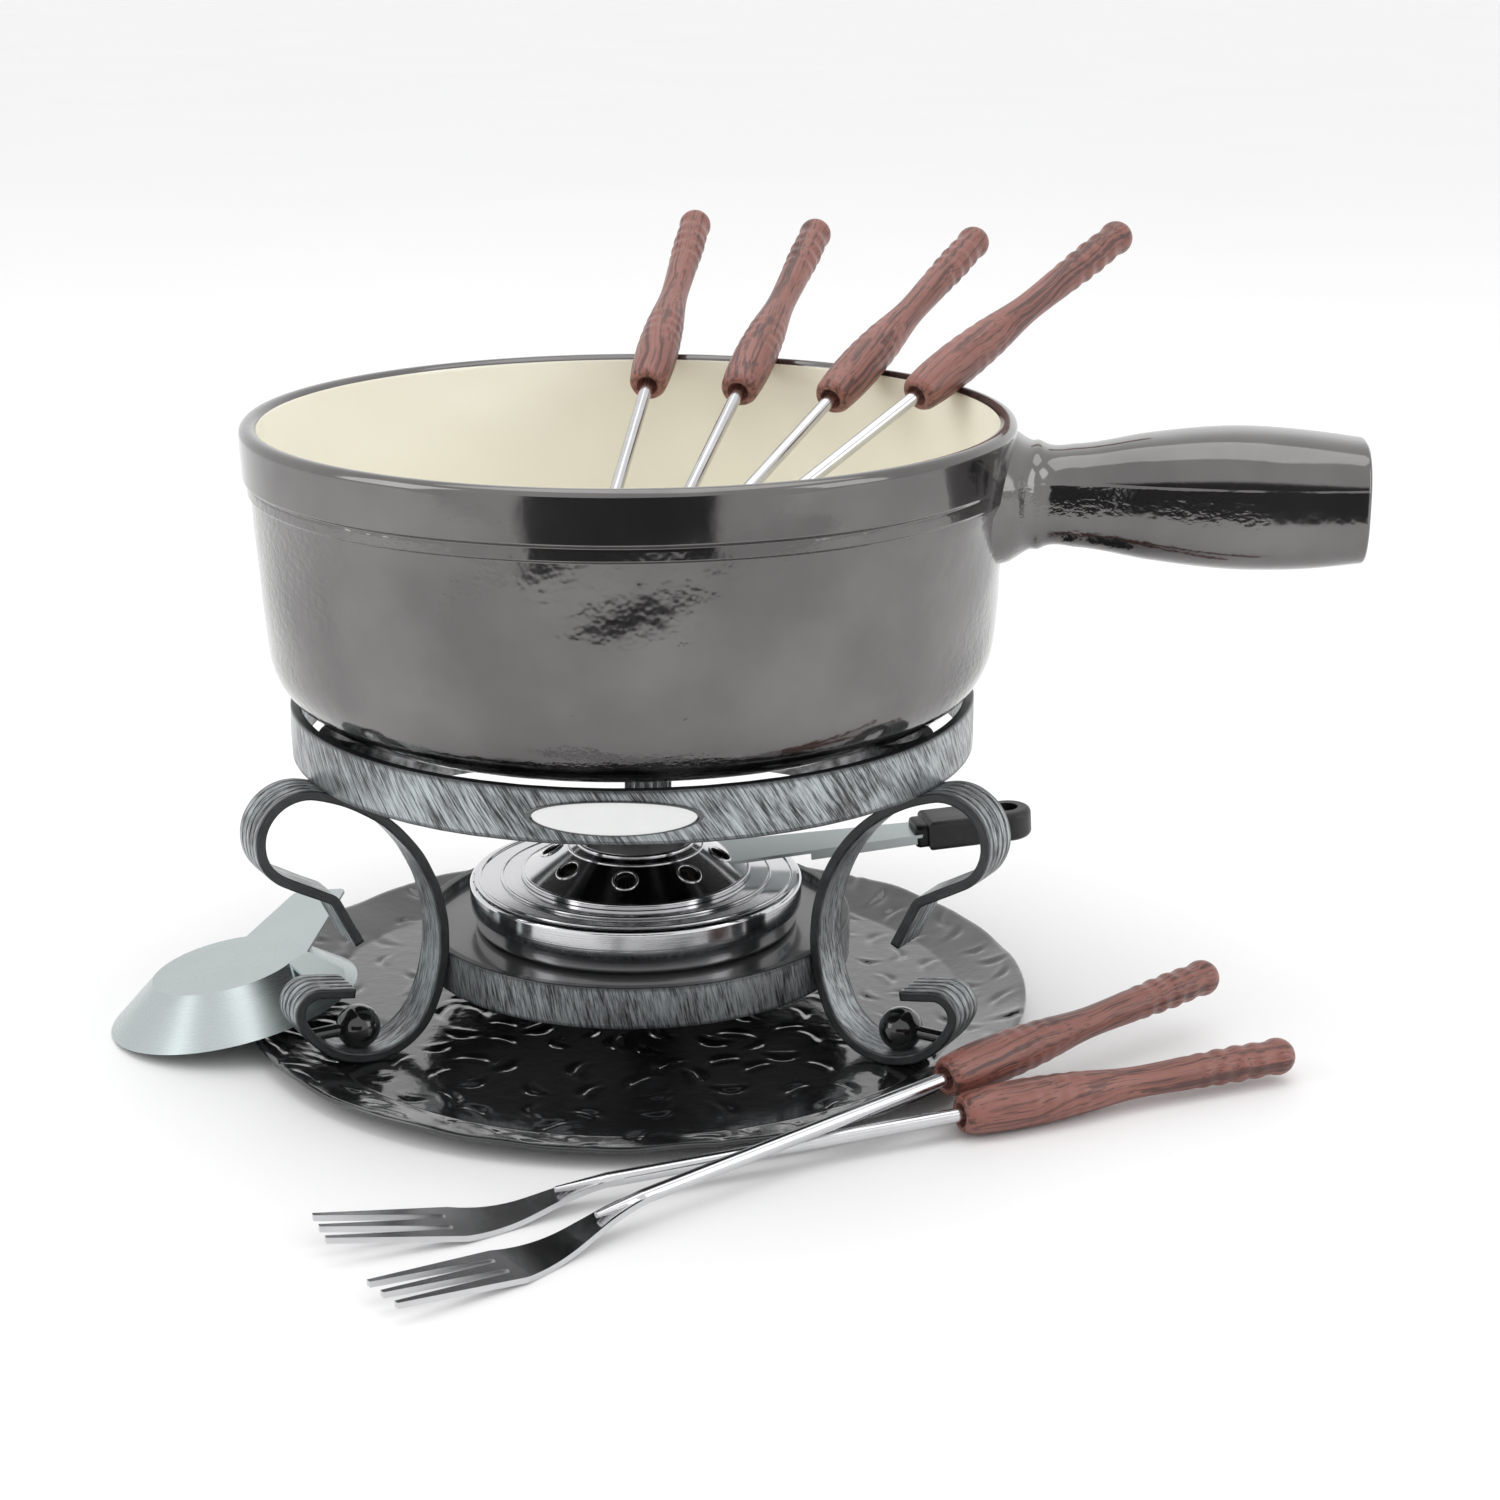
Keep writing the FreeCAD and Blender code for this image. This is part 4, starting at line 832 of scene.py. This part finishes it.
def handle_radius(x):
    """Radius along the handle: a ball, then a smooth run through waist and bulge, plus fading ripples."""
    xs = np.array([0.0080, 0.0120, 0.0330, 0.0520, 0.0714, 0.0882, 0.0980, 0.1030])
    rs = np.array([0.0047, 0.0049, 0.0047, 0.00445, 0.0061, 0.00665, 0.0063, 0.0058])
    body = eased(x, xs, rs)
    ripples = 0.00026 * np.cos((x - 0.0125) * 2 * np.pi / 0.0060) * np.exp(-((x - 0.021) / 0.0115) ** 4)
    fine = 0.00010 * np.cos((x - 0.080) * 2 * np.pi / 0.0052) * np.exp(-((x - 0.076) / 0.011) ** 4)
    ball = np.sqrt(np.maximum(BALL_R ** 2 - (x - BALL_R) ** 2, 0))
    return np.where(x < 0.0079, ball, body + ripples + fine)


def mesh_points(name):
    """A CAD node's points as an array."""
    vertices = nodes[name].data.vertices
    flat = np.zeros(3 * len(vertices))
    vertices.foreach_get("co", flat)
    return flat.reshape(-1, 3)


def sides(along):
    """Level direction across an axis, and the one square to both."""
    across = np.array([-along[1], along[0], 0]) / math.hypot(along[0], along[1])
    return across, np.cross(along, across)


def slice_middle(points, along):
    """Middle of a slice of a round bar: halfway across its spread in both side directions."""
    middle = along * np.mean(points @ along)
    for side in sides(along):
        spread = points @ side
        middle = middle + side * (spread.max() + spread.min()) / 2
    return middle


def fork_axis(k):
    """Butt, direction and side directions of a fork.  The direction starts as the handle's longest spread and
    is then set three times by the middles of its ball and of its mouth."""
    co = mesh_points("fork_handle_%d" % k)
    along = np.linalg.svd(co - co.mean(0), full_matrices=False)[2][0]
    along = along * np.sign((mesh_points("fork_shaft_%d" % k).mean(0) - co.mean(0)) @ along)
    for _ in range(3):
        far = co @ along
        ball = slice_middle(co[far < far.min() + 1.6 * BALL_R], along)
        mouth_ring = slice_middle(co[far > far.max() - 0.0005], along)
        along = (mouth_ring - ball) / np.linalg.norm(mouth_ring - ball)
    butt = ball + along * ((co @ along).min() - ball @ along)
    return (butt, along, *sides(along))


ball_x = BALL_R * (1 - np.cos(np.linspace(0, 1.92, 16)))
line_x = np.concatenate([ball_x[ball_x < 0.0078], np.linspace(0.0080, 0.1030, 230), [0.1036, 0.1042, 0.1047]])
line_r = handle_radius(np.minimum(line_x, 0.1030))
line_r[-3:] = (0.00555, 0.00525, 0.0049)
mouth = np.array([(0.1050, 0.0045), (0.1050, 0.0034), (0.1047, 0.0032), (0.1026, 0.0031), (0.1025, 0.0)])
line_x, line_r = np.concatenate([line_x, mouth[:, 0]]), np.concatenate([line_r, mouth[:, 1]])
line_r[0] = 0.0
handles = []
for k in range(1, 7):
    butt, along, across, up = fork_axis(k)
    a = np.linspace(0, 2 * np.pi, 40, endpoint=False)[None, :]
    own = np.stack([line_x[:, None] + 0 * a, line_r[:, None] * np.cos(a), line_r[:, None] * np.sin(a)], -1)
    placed = butt + own[..., :1] * along + own[..., 1:2] * across + own[..., 2:] * up
    handles.append(make_mesh("turned_handle_%d" % k, [(placed, own + (0.4 * k, 0, 0), False, True)],
                             "fork_%d" % k, ["fork_handle_%d" % k]))


# %% [markdown]
# ## Wood and fork steel
# The wood is a hard tropical kind: pinkish brown with near-black pore lines that run with the grain and
# drift round the turning.  The pattern coordinates run along each handle, and every fork starts at
# another place in the log, so no two match.

# %% Wood
def wood(s):
    grain = s.pattern()
    twist = s.node("ShaderNodeVectorRotate", {"rotation_type": "X_AXIS"},
                   {"Vector": grain, "Angle": s.part(grain, 0) * 7.0})
    drift = s.noise(s.stretched(grain, (0.5, 1.0, 1.0)), 60, 2)
    bent = s.node("ShaderNodeVectorMath", {"operation": "MULTIPLY_ADD"},
                  {0: s.node("ShaderNodeCombineXYZ", {}, {0: drift, 1: drift, 2: drift}),
                   1: (0.0, 0.006, 0.005), 2: twist})
    bands = s.noise(s.stretched(bent, (0.016, 1.0, 1.0)), 640, 4, 0.6)
    pores = s.noise(s.stretched(bent, (0.020, 1.0, 1.0)), 2100, 2)
    pale = s.blend(s.noise(grain, 60, 2), (0.205, 0.070, 0.052, 1), (0.290, 0.115, 0.090, 1))
    streak = bands.step(0.46, 0.64)
    colour = s.blend(streak, pale, (0.085, 0.030, 0.024, 1))
    colour = s.blend(pores.step(0.56, 0.70) * 0.8, colour, (0.030, 0.013, 0.011, 1))
    return {"Base Color": colour, "Roughness": 0.36 + bands * 0.15, "Coat Weight": 0.2,
            "Coat Roughness": 0.22, "Normal": s.bump(pores * 0.7 + bands * 0.3, 0.0002, 0.5)}


def fork_steel(s):
    place = s.place()
    smear = s.noise(place, 110, 3)
    fine = s.noise(place, 1500, 3)
    return {"Base Color": s.blend(smear, grey(0.52), grey(0.68)), "Metallic": 1.0,
            "Roughness": smear * 0.08 + fine * 0.06 + 0.09, "Normal": s.bump(smear, 0.0002, 0.12)}


dress(handles, finish("streaked_hardwood", wood))
dress(["fork_shaft_%d" % k for k in range(1, 7)], finish("fork_stainless", fork_steel))

# %% [markdown]
# ## Floor, light and camera
# The set stands on a pale table in a white room.  Large soft lights above and at both sides give the
# enamel its broad reflections.  The table ends a little in front of the set, and the room is open and
# dark there, so upright polished faces show a dark shape at their middle, which is what tells the eye
# they are glossy.

# %% Studio
floor_mesh = bpy.data.meshes.new("studio_floor")
floor_mesh.from_pydata([(-6, -0.55, 0), (6, -0.55, 0), (6, 14, 0), (-6, 14, 0)], [], [(0, 1, 2, 3)])
floor = bpy.data.objects.new("studio_floor", floor_mesh)
bpy.context.scene.collection.objects.link(floor)
dress([floor], finish("pale_floor", lambda s: {
    "Base Color": s.blend(s.noise(s.place(), 3), (0.90, 0.90, 0.90, 1), (0.93, 0.93, 0.93, 1)),
    "Roughness": 0.6}))

world = bpy.data.worlds.new("studio")
world.use_nodes = True
bpy.context.scene.world = world
room = Shade(world.node_tree)
aside, ahead, upwards = (room.part(room.node("ShaderNodeTexCoord", output="Generated"), k) for k in range(3))
opening = (1 - room.maths("ABSOLUTE", aside).step(0.42, 0.50)) * (1 - ahead.step(-0.30, -0.20))
opening = opening * (1 - upwards.step(0.26, 0.34))
room_light = room.blend(opening, (1.0, 1.0, 1.0, 1), (0.02, 0.02, 0.022, 1))
world.node_tree.links.new(room_light.socket, world.node_tree.nodes["Background"].inputs["Color"])


def soft_light(name, place, target, size, power):
    """An area light at a place, facing a target."""
    light = bpy.data.lights.new(name, "AREA")
    light.shape = "RECTANGLE"
    light.size, light.size_y = size
    light.energy = power
    lamp = bpy.data.objects.new(name, light)
    bpy.context.scene.collection.objects.link(lamp)
    lamp.location = place
    lamp.rotation_euler = (Vector(target) - Vector(place)).to_track_quat("-Z", "Y").to_euler()
    return lamp


soft_light("top", (0.1, 0.15, 1.6), (0, 0, 0.1), (1.6, 1.3), 7)
soft_light("left", (-1.5, -0.5, 0.9), (0, 0, 0.1), (0.9, 1.2), 6)
soft_light("right", (1.5, -0.6, 0.8), (0, 0, 0.1), (0.7, 1.2), 4)

# %% Camera
camera_data = bpy.data.cameras.new("camera")
camera = bpy.data.objects.new("camera", camera_data)
bpy.context.scene.collection.objects.link(camera)
camera_data.sensor_width = 36.0
camera_data.lens = 65.29
camera_data.clip_start = 0.01
view = Vector((-0.0111, 0.9557, -0.2943))
camera.location = (0.04306, -0.76779, 0.31625)
camera.rotation_euler = view.to_track_quat("-Z", "Y").to_euler()
bpy.context.scene.camera = camera
bpy.context.scene.view_settings.view_transform = "Standard"
print("camera looks down by", round(math.degrees(math.asin(-view.z)), 1), "degrees")
